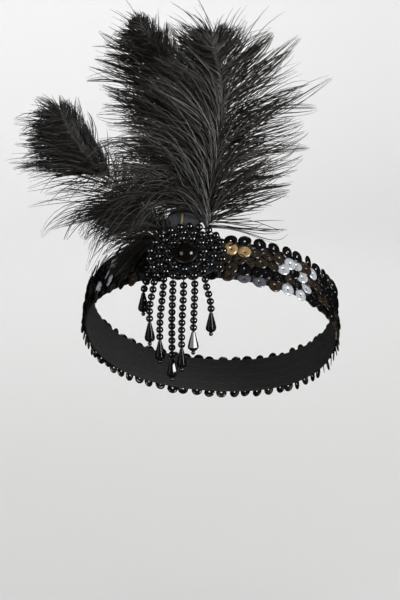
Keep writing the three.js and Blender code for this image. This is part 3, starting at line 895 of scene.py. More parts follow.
for name, (half_width, half_height, count, kept) in RINGS.items():
    places, ways = ring_places(half_width, half_height, count)
    stray = chance.normal(0, 1, (len(kept), 3)) * PEARL_STRAY
    beads = string_beads(pearl, on_felt(places[kept] + stray), ways[kept] @ ROSETTE_AXES)
    loop = ring_places(half_width, half_height, THREAD_STEPS)[0]
    passed = np.arange(THREAD_STEPS) * count / THREAD_STEPS
    strung = (passed > kept[0] - THREAD_END) & (passed < kept[-1] + THREAD_END)
    path = on_felt(loop[strung])[None]
    string = tubes(path, np.full(path.shape[:2], THREAD_RADIUS), THREAD_SIDES, ROSETTE_AXES[2])
    ring_piece = beaded_piece(f"pearl_ring_{name}", beads, string)
    take_place(ring_piece, "pearls", f"bead_ring_{name}")

# %% Seed beads in the hollows
SEED_DIAMETER = 1.9 * MM
SEED_RINGS = [
    # half width, half height, beads, and how far round the first one sits, as a share of a bead's room
    (7.9 * MM, 7.6 * MM, 14, 0.2),
    (12.7 * MM, 11.8 * MM, 20, 0.0),
    (17.6 * MM, 16.2 * MM, 28, 0.4),
]
SEED_SINK = (-1.3, -0.5)
SEED_STRAY = 0.3 * MM
SEED_TURN = 0.4
SEWN_SHARE = 1.02

seed = model_bead(SEED_DIAMETER, segments=10, rings=6, drill=0.55)
seed_parts = []
for half_width, half_height, count, offset in SEED_RINGS:
    places, ways = ring_places(half_width, half_height, count, offset)
    places[:, 2] += chance.uniform(*SEED_SINK, count) * MM
    places[:, :2] += chance.normal(0, SEED_STRAY, (count, 2))
    ways += chance.normal(0, SEED_TURN, ways.shape)
    sewn = felt_share(places[:, 0], places[:, 1]) < SEWN_SHARE
    seed_parts.append(string_beads(seed, on_felt(places[sewn]), ways[sewn] @ ROSETTE_AXES))
seed_piece = mesh_piece("seed_beads", *joined(seed_parts), pearl_black)
take_place(seed_piece, "pearls")

# %% [markdown]
# ## Hanging strands and faceted drops
# Seven strands of pearls hang from the rosette: two from the left end of the outer ring, and five from
# the lowest pearls of the middle one. Each carries a faceted glass drop, which a small stop bead keeps
# on the thread. The drop is modelled once, ring by ring from its top, with a bore for the thread. Its
# facets stay flat, and its edges are rounded so that they catch the light.

# %% Where the strands hang
STRAND_LEAD = 2.6 * MM
DROP_LENGTH = 10.3 * MM
DROP_RADIUS = 3.0 * MM
DROP_GAP = 0.3 * MM
STOP_DIAMETER = 2.3 * MM
STRANDS = [
    # ring and its bead, pearls, sway and backward swing in mm, depth in mm where they are reached, and
    # the drop's turn in degrees
    ("outer", -4, 3, -3.2, 1.0, 14, 20),
    ("outer", -3, 6, -2.7, -0.5, 18, 26),
    ("middle", -2, 9, -2.4, 0.0, 30, 18),
    ("middle", -1, 11, -0.8, 2.0, 25, 12),
    ("middle", 0, 9, -1.2, -2.0, 30, 24),
    ("middle", 1, 7, -0.9, 0.0, 35, 3),
    ("middle", 2, 5, 3.2, 0.0, 18, 16),
]


def strand_top(ring, ring_bead):
    """A bead's place on the felt and the start of the strand, outside and below that bead."""
    half_width, half_height, count = RINGS[ring][:3]
    place = ring_places(half_width, half_height, count)[0][ring_bead % count]
    outwards = unit(np.array([place[0], place[1], 0.0])) @ ROSETTE_AXES
    bead = on_felt(place)
    return bead, bead + unit(outwards + np.array([0.0, 0.0, -1.0])) * STRAND_LEAD


def hanging_line(top, sway, back, settle):
    """A function that gives the points of a hanging line at depths below its top."""

    def points_at(depth):
        share = np.clip(np.asarray(depth) / (settle * MM), 0, 1)
        eased = share * share * (3 - 2 * share)
        return top + np.stack([sway * MM * eased, back * MM * eased, -np.asarray(depth)], -1)

    return points_at


print("strands:", len(STRANDS), "with", sum(strand[2] for strand in STRANDS), "pearls")


# %% Finish of the drops
def jet_finish():
    finish = Finish("cut_jet_glass")
    depth = finish.noise(finish.place(), 350.0, 3.0)
    shade = finish.blend(depth, (0.002, 0.002, 0.002), (0.01, 0.009, 0.008))
    return finish.surface({
        "Base Color": shade,
        "Roughness": 0.03 + depth * 0.06,
        "Coat Weight": 0.6,
        "Coat Roughness": 0.02,
    })


jet = jet_finish()

# %% One faceted drop
DROP_SECTIONS = [
    # share of the widest radius, and share of the length from the top
    (0.31, 0.0),
    (0.82, 0.56),
    (1.0, 0.8),
    (0.93, 0.9),
    (0.6, 1.0),
]
DROP_BORE = 0.25
DROP_SIDES = 8
DROP_EDGE = 0.22 * MM
ROUNDED_ABOVE = math.radians(15)
FLAT_ABOVE = math.radians(6)

deselect_all()
bpy.ops.mesh.primitive_circle_add(vertices=DROP_SIDES, radius=DROP_BORE * DROP_RADIUS, fill_type="NOTHING")
drop_model = bpy.context.object
bpy.ops.object.mode_set(mode="EDIT")
bpy.ops.mesh.select_mode(type="VERT")
bpy.ops.mesh.select_all(action="SELECT")
radius_so_far = DROP_BORE
depth_so_far = 0.0
for radius_share, depth_share in [*DROP_SECTIONS, (DROP_BORE, 1.0)]:
    step_down = (depth_so_far - depth_share) * DROP_LENGTH
    bpy.ops.mesh.extrude_region_move(TRANSFORM_OT_translate={"value": (0, 0, step_down)})
    grow = radius_share / radius_so_far
    bpy.ops.transform.resize(value=(grow, grow, 1), center_override=(0, 0, -depth_share * DROP_LENGTH))
    radius_so_far = radius_share
    depth_so_far = depth_share
bpy.ops.object.mode_set(mode="OBJECT")
near_bore = 1.1 * DROP_BORE * DROP_RADIUS
choose(drop_model, "VERT", lambda vertex: vertex.co.xy.length < near_bore)
bpy.ops.mesh.bridge_edge_loops()
bpy.ops.mesh.select_all(action="SELECT")
bpy.ops.mesh.normals_make_consistent(inside=False)
bpy.ops.object.mode_set(mode="OBJECT")
apply_modifier(
    drop_model, "BEVEL", width=DROP_EDGE, segments=2, limit_method="ANGLE", angle_limit=ROUNDED_ABOVE
)
bpy.ops.object.shade_smooth_by_angle(angle=FLAT_ABOVE)
drop_model.data.materials.append(jet)
print("one drop has", len(drop_model.data.polygons), "faces")

# %% One strand
STRAND_PEARL = 0.985
STRAND_THREAD = 0.8 * THREAD_RADIUS
STRAND_STEPS = 30
SHORT_STEP = 0.1 * MM
stop_bead = model_bead(STOP_DIAMETER, segments=12, rings=8, drill=0.6)
print("one stop bead has", len(stop_bead[1]), "triangles")


def string_strand(number, sewn_at, line, count):
    """The pearls, stop bead and thread of one strand, along its hanging line."""
    bead_depth = (np.arange(count) + 0.5) * PEARL_DIAMETER
    stop_depth = count * PEARL_DIAMETER + DROP_GAP + DROP_LENGTH + DROP_GAP + STOP_DIAMETER / 2
    centres = line(bead_depth)
    below = line(bead_depth + SHORT_STEP)
    pearls = string_beads(pearl, centres, below - centres, STRAND_PEARL)
    stop = string_beads(stop_bead, line(np.array([stop_depth])), [[0, 0, -1]])
    path = np.concatenate([[sewn_at], line(np.linspace(0, stop_depth, STRAND_STEPS))])
    string = tubes(path[None], np.full((1, len(path)), STRAND_THREAD), THREAD_SIDES, [0, 1, 0])
    piece = beaded_piece(f"pearl_strand_{number}", joined([pearls, stop]), string)
    take_place(piece, "pearls", f"bead_strand_{number}")


# %% One drop on its strand
def hang_drop(number, line, depth, spin):
    """A copy of the drop, turned on its thread and hung with its top at a depth."""
    piece = drop_model.copy()
    piece.data = drop_model.data.copy()
    piece.name = f"cut_drop_{number}"
    bpy.context.scene.collection.objects.link(piece)
    spun = np.array(Matrix.Rotation(math.radians(spin), 3, "Z")) * np.array([[1], [1], [0]])
    move_points(piece, lambda points: line(depth - points[:, 2]) + points @ spun.T)
    take_place(piece, "cut_beads", f"drop_{number}")


# %% Strands and drops in place
for number, (ring, ring_bead, count, sway, back, settle, spin) in enumerate(STRANDS, 1):
    sewn_at, top = strand_top(ring, ring_bead)
    line = hanging_line(top, sway, back, settle)
    string_strand(number, sewn_at, line, count)
    hang_drop(number, line, count * PEARL_DIAMETER + DROP_GAP, spin)
bpy.data.objects.remove(drop_model)

# %% [markdown]
# ## The bare quill
# Above the rosette the cut end of a feather's quill shows in front of the felt tab. It is a thin tan
# tube, cut open at its top, so it is a small cylinder whose upper end is drawn in, inset and sunk.


# %% Finish of the quill
def quill_finish():
    finish = Finish("tan_quill")
    place = finish.place()
    streaks = finish.noise(place, 900.0, 3.0)
    shade = finish.blend(streaks, (0.12, 0.08, 0.045), (0.34, 0.24, 0.14))
    return finish.surface({
        "Base Color": shade,
        "Roughness": 0.35 + streaks * 0.2,
        "Normal": finish.bump(streaks, 0.05 * MM),
    })


tan_quill = quill_finish()

# %% The cut quill
STUB_RADIUS = 0.65 * MM
STUB_LENGTH = 7 * MM
STUB_FOOT = np.array([-5 * MM, 20.8 * MM, CROWN_HEIGHTS[-1] + SEWN_GAP + STUB_RADIUS])
STUB_CUT = 0.8
STUB_WALL = 0.16 * MM
STUB_BORE = 1.2 * MM
STUB_EDGE = 0.05 * MM

deselect_all()
bpy.ops.mesh.primitive_cylinder_add(vertices=14, radius=STUB_RADIUS, depth=STUB_LENGTH)
stub = bpy.context.object
stub.name = "cut_quill"
choose(stub, "FACE", lambda face: face.normal.z > 0.9)
bpy.ops.transform.resize(value=(STUB_CUT, STUB_CUT, 1), center_override=(0, 0, 0))
bpy.ops.mesh.inset(thickness=STUB_WALL)
bpy.ops.mesh.extrude_region_move(TRANSFORM_OT_translate={"value": (0, 0, -STUB_BORE)})
bpy.ops.object.mode_set(mode="OBJECT")
apply_modifier(stub, "BEVEL", width=STUB_EDGE, segments=2, limit_method="ANGLE")
bpy.ops.object.shade_smooth_by_angle(angle=SMOOTH_BELOW)
stub.data.materials.append(tan_quill)
upright = np.array([[1, 0, 0], [0, 0, -1], [0, 1, 0]])
stub_middle = STUB_FOOT + np.array([0, STUB_LENGTH / 2, 0])
move_points(stub, lambda points: on_felt(points @ upright + stub_middle))
take_place(stub, "quill", "quill_stub")

# %% [markdown]
# ## Ostrich plumes
# A plume is a quill with hundreds of long barbs on both sides, and each barb is fringed with tiny
# barbules. Hair particles would do, but they leave no mesh behind, so we grow the barbs ourselves, as
# tapering tubes from arrays. Barbs cling together in locks: each lock has its own angle and length,
# and towards its tip every barb is drawn to the middle of its lock. Behind this vane lies a layer of
# shorter, darker barbs, the down, which closes the gaps between the locks.

# %% The plumes' own planes
PLUME_LEAN = math.radians(16)
QUILL_HEIGHT = 3.6 * MM
TALL_AXES = np.array(Matrix.Rotation(-PLUME_LEAN, 3, "X")).T
LOW_AXES = np.array([ROSETTE_AXES[0], -ROSETTE_AXES[2], ROSETTE_AXES[1]])
print("tall plumes rise along", np.round(TALL_AXES[2], 2))

# %% Shapes of the plumes
# slot: along and up, in mm, of the quill behind the felt
# path: side, rise and back, in mm, of the quill above it
# left, right: rows of the share of the quill, how thickly barbs grow there, their length in mm, their
# angle at the quill and their turn from there to the tip in degrees
# cup: how far barbs bend backwards, as a share of their length
# barbs, lock, ruffle: for the left and the right, barbs, barbs in a lock from and up to, and how far the
# angles of locks differ in degrees
# down: barbs of the down on the left and the right
# droop: how far tips on the left hang, in degrees, low and high on the quill
# barbules, paleness: spikes on each barb, and how pale the barbs are, from wear and painted sheen
PLUMES = {
    "right": {
        "axes": TALL_AXES,
        "slot": [(6, 4), (9, 19)],
        "path": [
            (10.5, 33, 11),
            (13.5, 52, 14),
            (16.4, 68, 15),
            (18.2, 86, 14.5),
            (17.6, 102, 12),
            (13.5, 119, 6),
        ],
        "left": [
            (0.11, 1.0, 40, 6, 60),
            (0.15, 1.5, 56, 10, 92),
            (0.185, 3.2, 72, 26, 104),
            (0.21, 3.4, 84, 36, 92),
            (0.25, 2.2, 84, 40, 80),
            (0.3, 1.6, 78, 42, 66),
            (0.4, 1.2, 68, 42, 54),
            (0.5, 1.0, 62, 44, 40),
            (0.64, 0.9, 54, 42, 30),
            (0.8, 1.1, 45, 38, 22),
            (0.9, 1.6, 37, 32, 18),
            (1.0, 2.2, 16, 26, 14),
        ],
        "right": [
            (0.14, 0.9, 56, 78, 26),
            (0.18, 1.2, 63, 66, 24),
            (0.24, 1.2, 63, 56, 24),
            (0.35, 1.2, 56, 50, 22),
            (0.5, 1.0, 61, 49, 20),
            (0.62, 0.9, 64, 48, 22),
            (0.72, 0.9, 64, 48, 24),
            (0.8, 1.0, 51, 46, 24),
            (0.9, 1.3, 35, 36, 22),
            (1.0, 2.2, 16, 26, 14),
        ],
        "cup": -0.04,
        "barbs": (1200, 620),
        "lock": ((3, 16), (5, 26)),
        "ruffle": (7, 10),
        "down": (460, 110),
        "droop": (60, 8),
        "barbules": 9,
        "paleness": 1.4,
    },
    "left": {
        "axes": TALL_AXES,
        "slot": [(0, 4), (0.5, 19), (1, 33)],
        "path": [(1, 56, 25), (-3, 80, 32), (-10.5, 103, 34), (-20, 123, 32), (-27, 135, 28)],
        "left": [
            (0.26, 0.8, 46, 62, 24),
            (0.42, 1.0, 44, 54, 18),
            (0.58, 1.1, 54, 50, 16),
            (0.74, 1.1, 49, 44, 16),
            (0.88, 1.4, 29, 42, 14),
            (1.0, 2.2, 10, 26, 10),
        ],
        "right": [
            (0.12, 0.5, 12, 44, 20),
            (0.17, 0.5, 18, 44, 20),
            (0.26, 0.8, 40, 34, 20),
            (0.42, 1.0, 46, 22, 12),
            (0.58, 1.0, 47, 19, 10),
            (0.74, 1.0, 37, 19, 10),
            (0.88, 1.2, 20, 20, 10),
            (1.0, 1.6, 9, 20, 10),
        ],
        "cup": 0.2,
        "barbs": (860, 790),
        "lock": ((3, 16), (3, 16)),
        "ruffle": (7, 7),
        "down": (260, 260),
        "droop": (10, 4),
        "barbules": 12,
        "paleness": 1.6,
    },
    "side": {
        "axes": TALL_AXES,
        "slot": [(-6, 5), (-15, 19)],
        "path": [(-28, 31, 13), (-42, 47, 16), (-53.5, 57.5, 15), (-62.5, 69, 12), (-69, 81.5, 7)],
        "left": [
            (0.17, 1.2, 34, 36, 26),
            (0.25, 2.2, 44, 34, 28),
            (0.33, 1.2, 50, 34, 30),
            (0.38, 0.15, 54, 36, 30),
            (0.57, 0.05, 50, 24, 22),
            (0.6, 1.3, 46, 24, 22),
            (0.75, 1.5, 40, 30, 26),
            (0.9, 1.6, 30, 42, 22),
            (1.0, 2.2, 13, 42, 14),
        ],
        "right": [
            (0.1, 1.2, 10, 34, 10),
            (0.2, 0.8, 14, 34, 5),
            (0.34, 0.1, 18, 44, 0),
            (0.56, 0.2, 24, 44, -14),
            (0.64, 1.3, 27, 44, -18),
            (0.78, 1.4, 25, 42, -16),
            (0.9, 1.4, 19, 36, -8),
            (1.0, 1.6, 11, 30, 0),
        ],
        "cup": -0.1,
        "barbs": (920, 380),
        "lock": ((2, 12), (2, 12)),
        "ruffle": (7, 7),
        "down": (330, 120),
        "droop": (40, 10),
        "barbules": 21,
        "paleness": 0.5,
    },
    "low": {
        "axes": LOW_AXES,
        "slot": [(-12, 8)],
        "path": [(-18, 14.5, -2), (-25, 11, 0.2), (-31.5, 4, 3.2)],
        "left": [
            (0.2, 1.0, 22, 46, 10),
            (0.6, 1.2, 19, 38, 8),
            (1.0, 1.5, 13, 24, 6),
        ],
        "right": [
            (0.1, 1.0, 24, 30, -50),
            (0.4, 1.4, 30, 40, -55),
            (0.7, 1.2, 24, 36, -40),
            (1.0, 1.2, 14, 22, -10),
        ],
        "cup": 0.2,
        "barbs": (150, 190),
        "lock": ((2, 12), (2, 12)),
        "ruffle": (7, 7),
        "down": (0, 0),
        "droop": (0, 0),
        "barbules": 14,
        "paleness": 0.5,
    },
}
print("barbs in all:", sum(sum(plume["barbs"]) for plume in PLUMES.values()))

# %% The quill's line
QUILL_POINTS = 400
KNOT_STEPS = 60


def smooth_line(knots):
    """A curve through the knots with centripetal spacing, as points at equal walks."""
    knots = np.asarray(knots, float)
    ends = [2 * knots[0] - knots[1], *knots, 2 * knots[-1] - knots[-2]]
    pieces = []
    for a, b, c, d in zip(ends, ends[1:], ends[2:], ends[3:]):
        gap = [math.sqrt(np.linalg.norm(q - p)) for p, q in ((a, b), (b, c), (c, d))]
        leave = ((b - a) / gap[0] - (c - a) / (gap[0] + gap[1]) + (c - b) / gap[1]) * gap[1]
        arrive = ((c - b) / gap[1] - (d - b) / (gap[1] + gap[2]) + (d - c) / gap[2]) * gap[1]
        t = np.linspace(0, 1, KNOT_STEPS, endpoint=False)[:, None]
        square = t * t
        cube = square * t
        pieces.append(
            b * (2 * cube - 3 * square + 1)
            + leave * (cube - 2 * square + t)
            + c * (3 * square - 2 * cube)
            + arrive * (cube - square)
        )
    fine = np.concatenate([*pieces, knots[-1:]])
    walk = np.concatenate([[0], np.cumsum(np.linalg.norm(np.diff(fine, axis=0), axis=1))])
    even = np.linspace(0, walk[-1], QUILL_POINTS)
    return np.stack([np.interp(even, walk, fine[:, axis]) for axis in range(3)], -1)


def quill_line(plume):
    """The quill in its plume's plane: side, back and rise in metres."""
    slot = on_rosette([(along * MM, up * MM, QUILL_HEIGHT) for along, up in plume["slot"]])
    slot_knots = (slot - ROSETTE_ORIGIN) @ plume["axes"].T
    free_knots = [(side * MM, back * MM, rise * MM) for side, rise, back in plume["path"]]
    return smooth_line(np.concatenate([slot_knots, free_knots]))


def from_plane(points, plume):
    """World points from places in a plume's plane."""
    return ROSETTE_ORIGIN + points @ plume["axes"]


for name, plume in PLUMES.items():
    plume["quill"] = quill_line(plume)
    tip = from_plane(plume["quill"][-1], plume)
    print("plume", name, "ends at mm", np.round(tip / MM, 1))


# %% Where barbs grow, and their locks
SIDES = ("left", "right")
HANDS = (-1, 1)
LAST_BARB = 0.998
GROWTH_STEPS = 500


def places_on_quill(rows, count, draw):
    """Shares of the quill where barbs grow, as thickly as the rows say."""
    fine = np.linspace(rows[0, 0], LAST_BARB, GROWTH_STEPS)
    grown = np.cumsum(np.interp(fine, rows[:, 0], rows[:, 1]))
    rank = (np.arange(count) + draw.random(count)) / count
    return np.interp(rank * grown[-1], grown, fine)


def locks_of(count, sizes, draw):
    """The lock that each barb on one side belongs to, in runs of a few barbs."""
    return np.repeat(np.arange(count), draw.integers(*sizes, count))[:count]


def feet_on_quill(quill, at):
    """Where barbs leave the quill, and the quill's heading there in the plume's plane."""
    spot = at * (len(quill) - 1)
    foot = np.stack([np.interp(spot, np.arange(len(quill)), quill[:, axis]) for axis in range(3)], -1)
    forward = np.gradient(quill, axis=0)[np.round(spot).astype(int)]
    return foot, np.arctan2(forward[:, 0], forward[:, 2])


# %% [markdown]
# ### No two barbs alike
# A vane of equal barbs looks like a comb. So most of what a barb is like is drawn by lot, partly for its
# whole lock and partly for itself. Some barbs are short and stand inside the vane, and some lie loose
# over the quill as a cover. The lots come from a seeded generator, so every run grows the same plume.

# %% How long each barb is
INNER_SHARE = 0.3
INNER_REACH = (0.35, 0.8)
OUTER_REACH = (0.72, 1.08)
COVER_SHARE = 0.14
STRAY_SHARE = 0.14
STRAY_PLACES = (0.6, 0.8)
STRAY_REACH = (0.2, 0)
LOCK_LENGTH = (0.98, 0.14)


def draw_lengths(plume, side, draw):
    """Each barb's place on the quill, lock and length, and which are inner or cover barbs."""
    rows = np.array(plume[SIDES[side]], float)
    count = plume["barbs"][side]
    at = places_on_quill(rows, count, draw)
    lock = locks_of(count, plume["lock"][side], draw)
    locks = lock.max() + 1
    inner = draw.random(count) < INNER_SHARE
    cover = draw.random(count) < COVER_SHARE
    reach = np.where(inner, draw.uniform(*INNER_REACH, count), draw.uniform(*OUTER_REACH, count))
    stray = np.interp(at, STRAY_PLACES, STRAY_REACH) * (draw.random(locks) < STRAY_SHARE)[lock]
    length = np.interp(at, rows[:, 0], rows[:, 2]) * MM
    length *= draw.normal(*LOCK_LENGTH, locks)[lock] * (1 + stray) * reach
    return at, lock, length, inner, cover


# %% How each barb bends
INNER_RUFFLE = math.radians(9)
BARB_RUFFLE = math.radians(5)
TIP_START = 0.82
TIP_RUN = 0.18
TIP_RUFFLE = 3.0
COVER_OPENING = (-0.2, 0.5)
COVER_LIFT = 0.06
COVER_CUP = 0.5
LOCK_TURN = 0.3
BARB_TURN = 0.12
CUP_SHARES = (0.15, 1.1)
LOCK_CUP = 0.2
BARB_CUP = 0.09
DROOP_PLACES = (0.25, 0.45)


def draw_bends(plume, side, at, lock, inner, cover, draw):
    """Each barb's angle at the quill, its turn from there, how far it cups, and how far it droops."""
    rows = np.array(plume[SIDES[side]], float)
    count = len(at)
    locks = lock.max() + 1
    own_ruffle = draw.normal(0, INNER_RUFFLE, count)
    lock_ruffle = draw.normal(0, math.radians(plume["ruffle"][side]), locks)[lock]
    tip_ruffle = 1 + TIP_RUFFLE * np.clip((at - TIP_START) / TIP_RUN, 0, 1)
    opening = np.radians(np.interp(at, rows[:, 0], rows[:, 3]))
    opening += np.where(inner, own_ruffle, lock_ruffle)
    opening += draw.normal(0, BARB_RUFFLE, count) * tip_ruffle
    opening = np.where(cover, opening * draw.uniform(*COVER_OPENING, count), opening)
    turn = np.radians(np.interp(at, rows[:, 0], rows[:, 4]))
    turn *= draw.normal(1, LOCK_TURN, locks)[lock] * draw.normal(1, BARB_TURN, count)
    cup = plume["cup"] * draw.uniform(*CUP_SHARES, count)
    cup += draw.normal(0, LOCK_CUP, locks)[lock] + draw.normal(0, BARB_CUP, count)
    cup = np.where(cover, -COVER_LIFT - COVER_CUP * np.abs(cup), cup)
    droop = np.abs(draw.normal(0, 1, locks))[lock]
    droop *= np.radians(np.interp(at, DROOP_PLACES, plume["droop"]))
    return opening, turn, cup, droop


# %% Barbs drawn to their locks
BARB_STEPS = 11
LOCK_PULL = 0.85
LOOSE_PULL = 0.3
PULL_POWER = 1.8
barb_share = np.linspace(0, 1, BARB_STEPS)


def cling(paths, lock, loose):
    """Draws every barb towards the middle of its lock, more and more towards its tip."""
    locks = lock.max() + 1
    sums = np.zeros((locks, BARB_STEPS, 3))
    np.add.at(sums, lock, paths)
    members = np.bincount(lock, minlength=locks)[:, None, None]
    gather = np.where(loose, LOOSE_PULL, 1.0)[:, None, None]
    pull = LOCK_PULL * gather * barb_share[None, :, None] ** PULL_POWER
    return paths + pull * ((sums / members)[lock] - paths)


# %% Barbs of one side
EARLY_TURN = 0.7
DROOP_START = 0.55
DROOP_RUN = 0.45
LOWEST_AIM = math.radians(155)
WAVE = 0.1
WAVER = 0.015


def walked(strides):
    """Distance gone after each step, from nought."""
    return np.concatenate([np.zeros((len(strides), 1)), np.cumsum(strides, 1)], 1)


def grow_side(plume, side, draw):
    """Paths of the barbs on one side, in the plume's plane: barb, step, axis."""
    at, lock, length, inner, cover = draw_lengths(plume, side, draw)
    opening, turn, cup, droop = draw_bends(plume, side, at, lock, inner, cover, draw)
    foot, heading = feet_on_quill(plume["quill"], at)
    count = len(at)
    hand = HANDS[side]
    middle = (barb_share[1:] + barb_share[:-1]) / 2
    direction = heading[:, None] + hand * (opening[:, None] + turn[:, None] * middle**EARLY_TURN)
    if hand < 0:
        direction -= droop[:, None] * np.clip((middle - DROOP_START) / DROOP_RUN, 0, 1)
    direction = np.clip(direction, -LOWEST_AIM, LOWEST_AIM)
    direction += draw.normal(0, WAVE, (count, 1)) * np.sin(2 * np.pi * (middle + draw.random((count, 1))))
    stride = (length / (BARB_STEPS - 1))[:, None]
    aside = walked(stride * np.sin(direction))
    rise = walked(stride * np.cos(direction))
    back = cup[:, None] * length[:, None] * barb_share**2
    waver = draw.normal(0, WAVER, count)[:, None] * length[:, None] * np.sin(2 * np.pi * barb_share)
    paths = foot[:, None] + np.stack([aside, back + waver, rise], -1)
    return cling(paths, lock, inner | cover)


def grow_both(plume, draw):
    return np.concatenate([grow_side(plume, side, draw) for side in range(len(SIDES))])


# %% Barbules
BARBULE_LENGTH = 1.9 * MM
BARBULE_RADIUS = 0.08 * MM
BARBULE_REACH = (0.6, 1.25)
BARBULE_ANGLES = (10, 30)
BARBULE_SPREAD = np.array([0.35, 1.0, 0.35])
SHORTER_AT_TIP = 0.55
NUDGE = 0.01
SPIKE = np.array([[0, 1, 3], [1, 2, 3], [2, 0, 3], [0, 2, 1]])
SPIKE_POINTS = 4


def fringe(paths, count, draw):
    """Tiny closed spikes along each barb: points and triangles."""
    barbs, steps, _ = paths.shape
    share = (np.arange(count) + draw.random((barbs, count))) / count
    spot = share * (steps - 1)
    low = np.minimum(spot.astype(int), steps - 2)
    part = (spot - low)[..., None]
    barb = np.arange(barbs)[:, None]
    start = paths[barb, low]
    stride = paths[barb, low + 1] - start
    foot = start + part * stride
    ahead = unit(stride)
    aside = unit(np.cross(ahead, draw.normal(0, 1, (barbs, count, 3)) * BARBULE_SPREAD))
    aside *= np.where(np.arange(count) % 2 == 0, 1.0, -1.0)[None, :, None]
    angle = np.radians(draw.uniform(*BARBULE_ANGLES, (barbs, count, 1)))
    aim = ahead * np.cos(angle) + aside * np.sin(angle)
    reach = BARBULE_LENGTH * draw.uniform(*BARBULE_REACH, (barbs, count)) * (1 - SHORTER_AT_TIP * share)
    wide = unit(np.cross(aim, ahead + NUDGE))
    deep = np.cross(aim, wide)
    corners = [2 * math.pi * corner / 3 for corner in range(3)]
    ring = [foot + BARBULE_RADIUS * (math.cos(turn) * wide + math.sin(turn) * deep) for turn in corners]
    points = np.stack([*ring, foot + aim * reach[..., None]], 2).reshape(-1, 3)
    triangles = SPIKE[None] + (np.arange(barbs * count) * SPIKE_POINTS)[:, None, None]
    return points, triangles.reshape(-1, 3)


# %% [markdown]
# ### Feather black
# Dyed ostrich is not a flat black. Some barbs have worn to a brownish grey at random, and near the quill and
# halfway up the plume the barbs are paler still, which is painted sheen on top of the wear; each one has a
# soft shine along its length. A noise alone would spot them, so every barb keeps a tone of its own as an
# attribute, which the finish turns into colour.


# %% Finishes of barb and quill
def barb_finish():
    finish = Finish("dyed_ostrich_barb")
    # tone carries each barb's wear and its painted sheen.
    tone = finish.node("ShaderNodeAttribute", {"attribute_name": "tone"}, output="Fac")
    mottle = finish.noise(finish.place(), 700.0)
    shade = finish.blend(tone * 0.92 + mottle * 0.08, (0.0015, 0.0015, 0.0015), (0.17, 0.155, 0.138))
    return finish.surface({
        "Base Color": shade,
        "Roughness": 0.27 + mottle * 0.14,
    })


def shaft_finish():
    finish = Finish("dyed_feather_quill")
    streaks = finish.noise(finish.place(), 1100.0, 3.0)
    shade = finish.blend(streaks, (0.01, 0.009, 0.008), (0.05, 0.043, 0.036))
    return finish.surface({
        "Base Color": shade,
        "Roughness": 0.4 + streaks * 0.15,
        "Normal": finish.bump(streaks, 0.06 * MM),
    })


barb_black = barb_finish()
shaft_grey = shaft_finish()

# %% Tubes and tones of barbs
BARB_SIDES = 3
TUBE_ENDS = 2
BARB_THICKNESS = (0.75, 1.2)


def barb_tubes(paths, radii, plume, draw):
    """Tapering tubes along barbs, some thicker and some thinner, and their paths in the world."""
    world = from_plane(paths.reshape(-1, 3), plume).reshape(paths.shape)
    taper = np.interp(np.linspace(0, len(radii) - 1, paths.shape[1]), np.arange(len(radii)), radii)
    thickness = taper[None] * draw.uniform(*BARB_THICKNESS, (len(paths), 1))
    return tubes(world, thickness, BARB_SIDES, plume["axes"][1]), world


def set_tones(piece, tones):
    """Keeps a tone for each point of a piece, for the finish of the barbs."""
    layer = piece.data.attributes.new("tone", "FLOAT", "POINT")
    layer.data.foreach_set("value", tones.astype(np.float32))


# %% The vane
BARB_RADII = np.array([0.2, 0.28, 0.24, 0.05]) * MM
BARB_TONE = (0.4, 1.6)
ROOT_WEAR_AND_SHEEN = 1.45
TIP_WEAR_AND_SHEEN = 0.6
# Painted sheen with the wear: barbs palest between a third and nearly half way up the plume.
SHEEN_AND_WEAR_PLACES = (0.15, 0.32, 0.45, 0.8)
SHEEN_AND_WEAR_TONES = (0.3, 1.0, 1.0, 0.5)
BARBULE_TONE_SHARE = 0.8


def grow_vane(name, plume, draw):
    """The long barbs of a plume with their barbules, paler along the quill and along each barb from wear and
    painted sheen.
    """
    paths = grow_both(plume, draw)
    barbs, world = barb_tubes(paths, BARB_RADII, plume, draw)
    spikes = fringe(world, plume["barbules"], draw)
    piece = mesh_piece(f"ostrich_barbs_{name}", *joined([barbs, spikes]), barb_black)
    barb_tone = draw.beta(*BARB_TONE, len(paths)) * plume["paleness"]
    # Painted sheen with the wear, by height on the plume.
    barb_tone *= np.interp(paths[:, 0, 2] / plume["quill"][-1, 2], SHEEN_AND_WEAR_PLACES, SHEEN_AND_WEAR_TONES)
    # Painted sheen with the wear: each barb paler at its root than at its tip.
    root_to_tip_wear_and_sheen = np.repeat(np.linspace(ROOT_WEAR_AND_SHEEN, TIP_WEAR_AND_SHEEN, BARB_STEPS), BARB_SIDES)
    tube_tone = np.outer(barb_tone, np.concatenate([root_to_tip_wear_and_sheen, [ROOT_WEAR_AND_SHEEN, TIP_WEAR_AND_SHEEN]])).ravel()
    spike_tone = np.repeat(barb_tone * BARBULE_TONE_SHARE, plume["barbules"] * SPIKE_POINTS)
    set_tones(piece, np.concatenate([tube_tone, spike_tone]))
    take_place(piece, "feather", f"plume_{name}")


# %% The down behind it
DOWN_STEPS = 9
DOWN_DEPTH = 2.5 * MM
DOWN_RADII = np.array([0.26, 0.42, 0.4, 0.1]) * MM
DOWN_TONE = (0.9, 2.4)
DOWN_PALENESS = 0.5


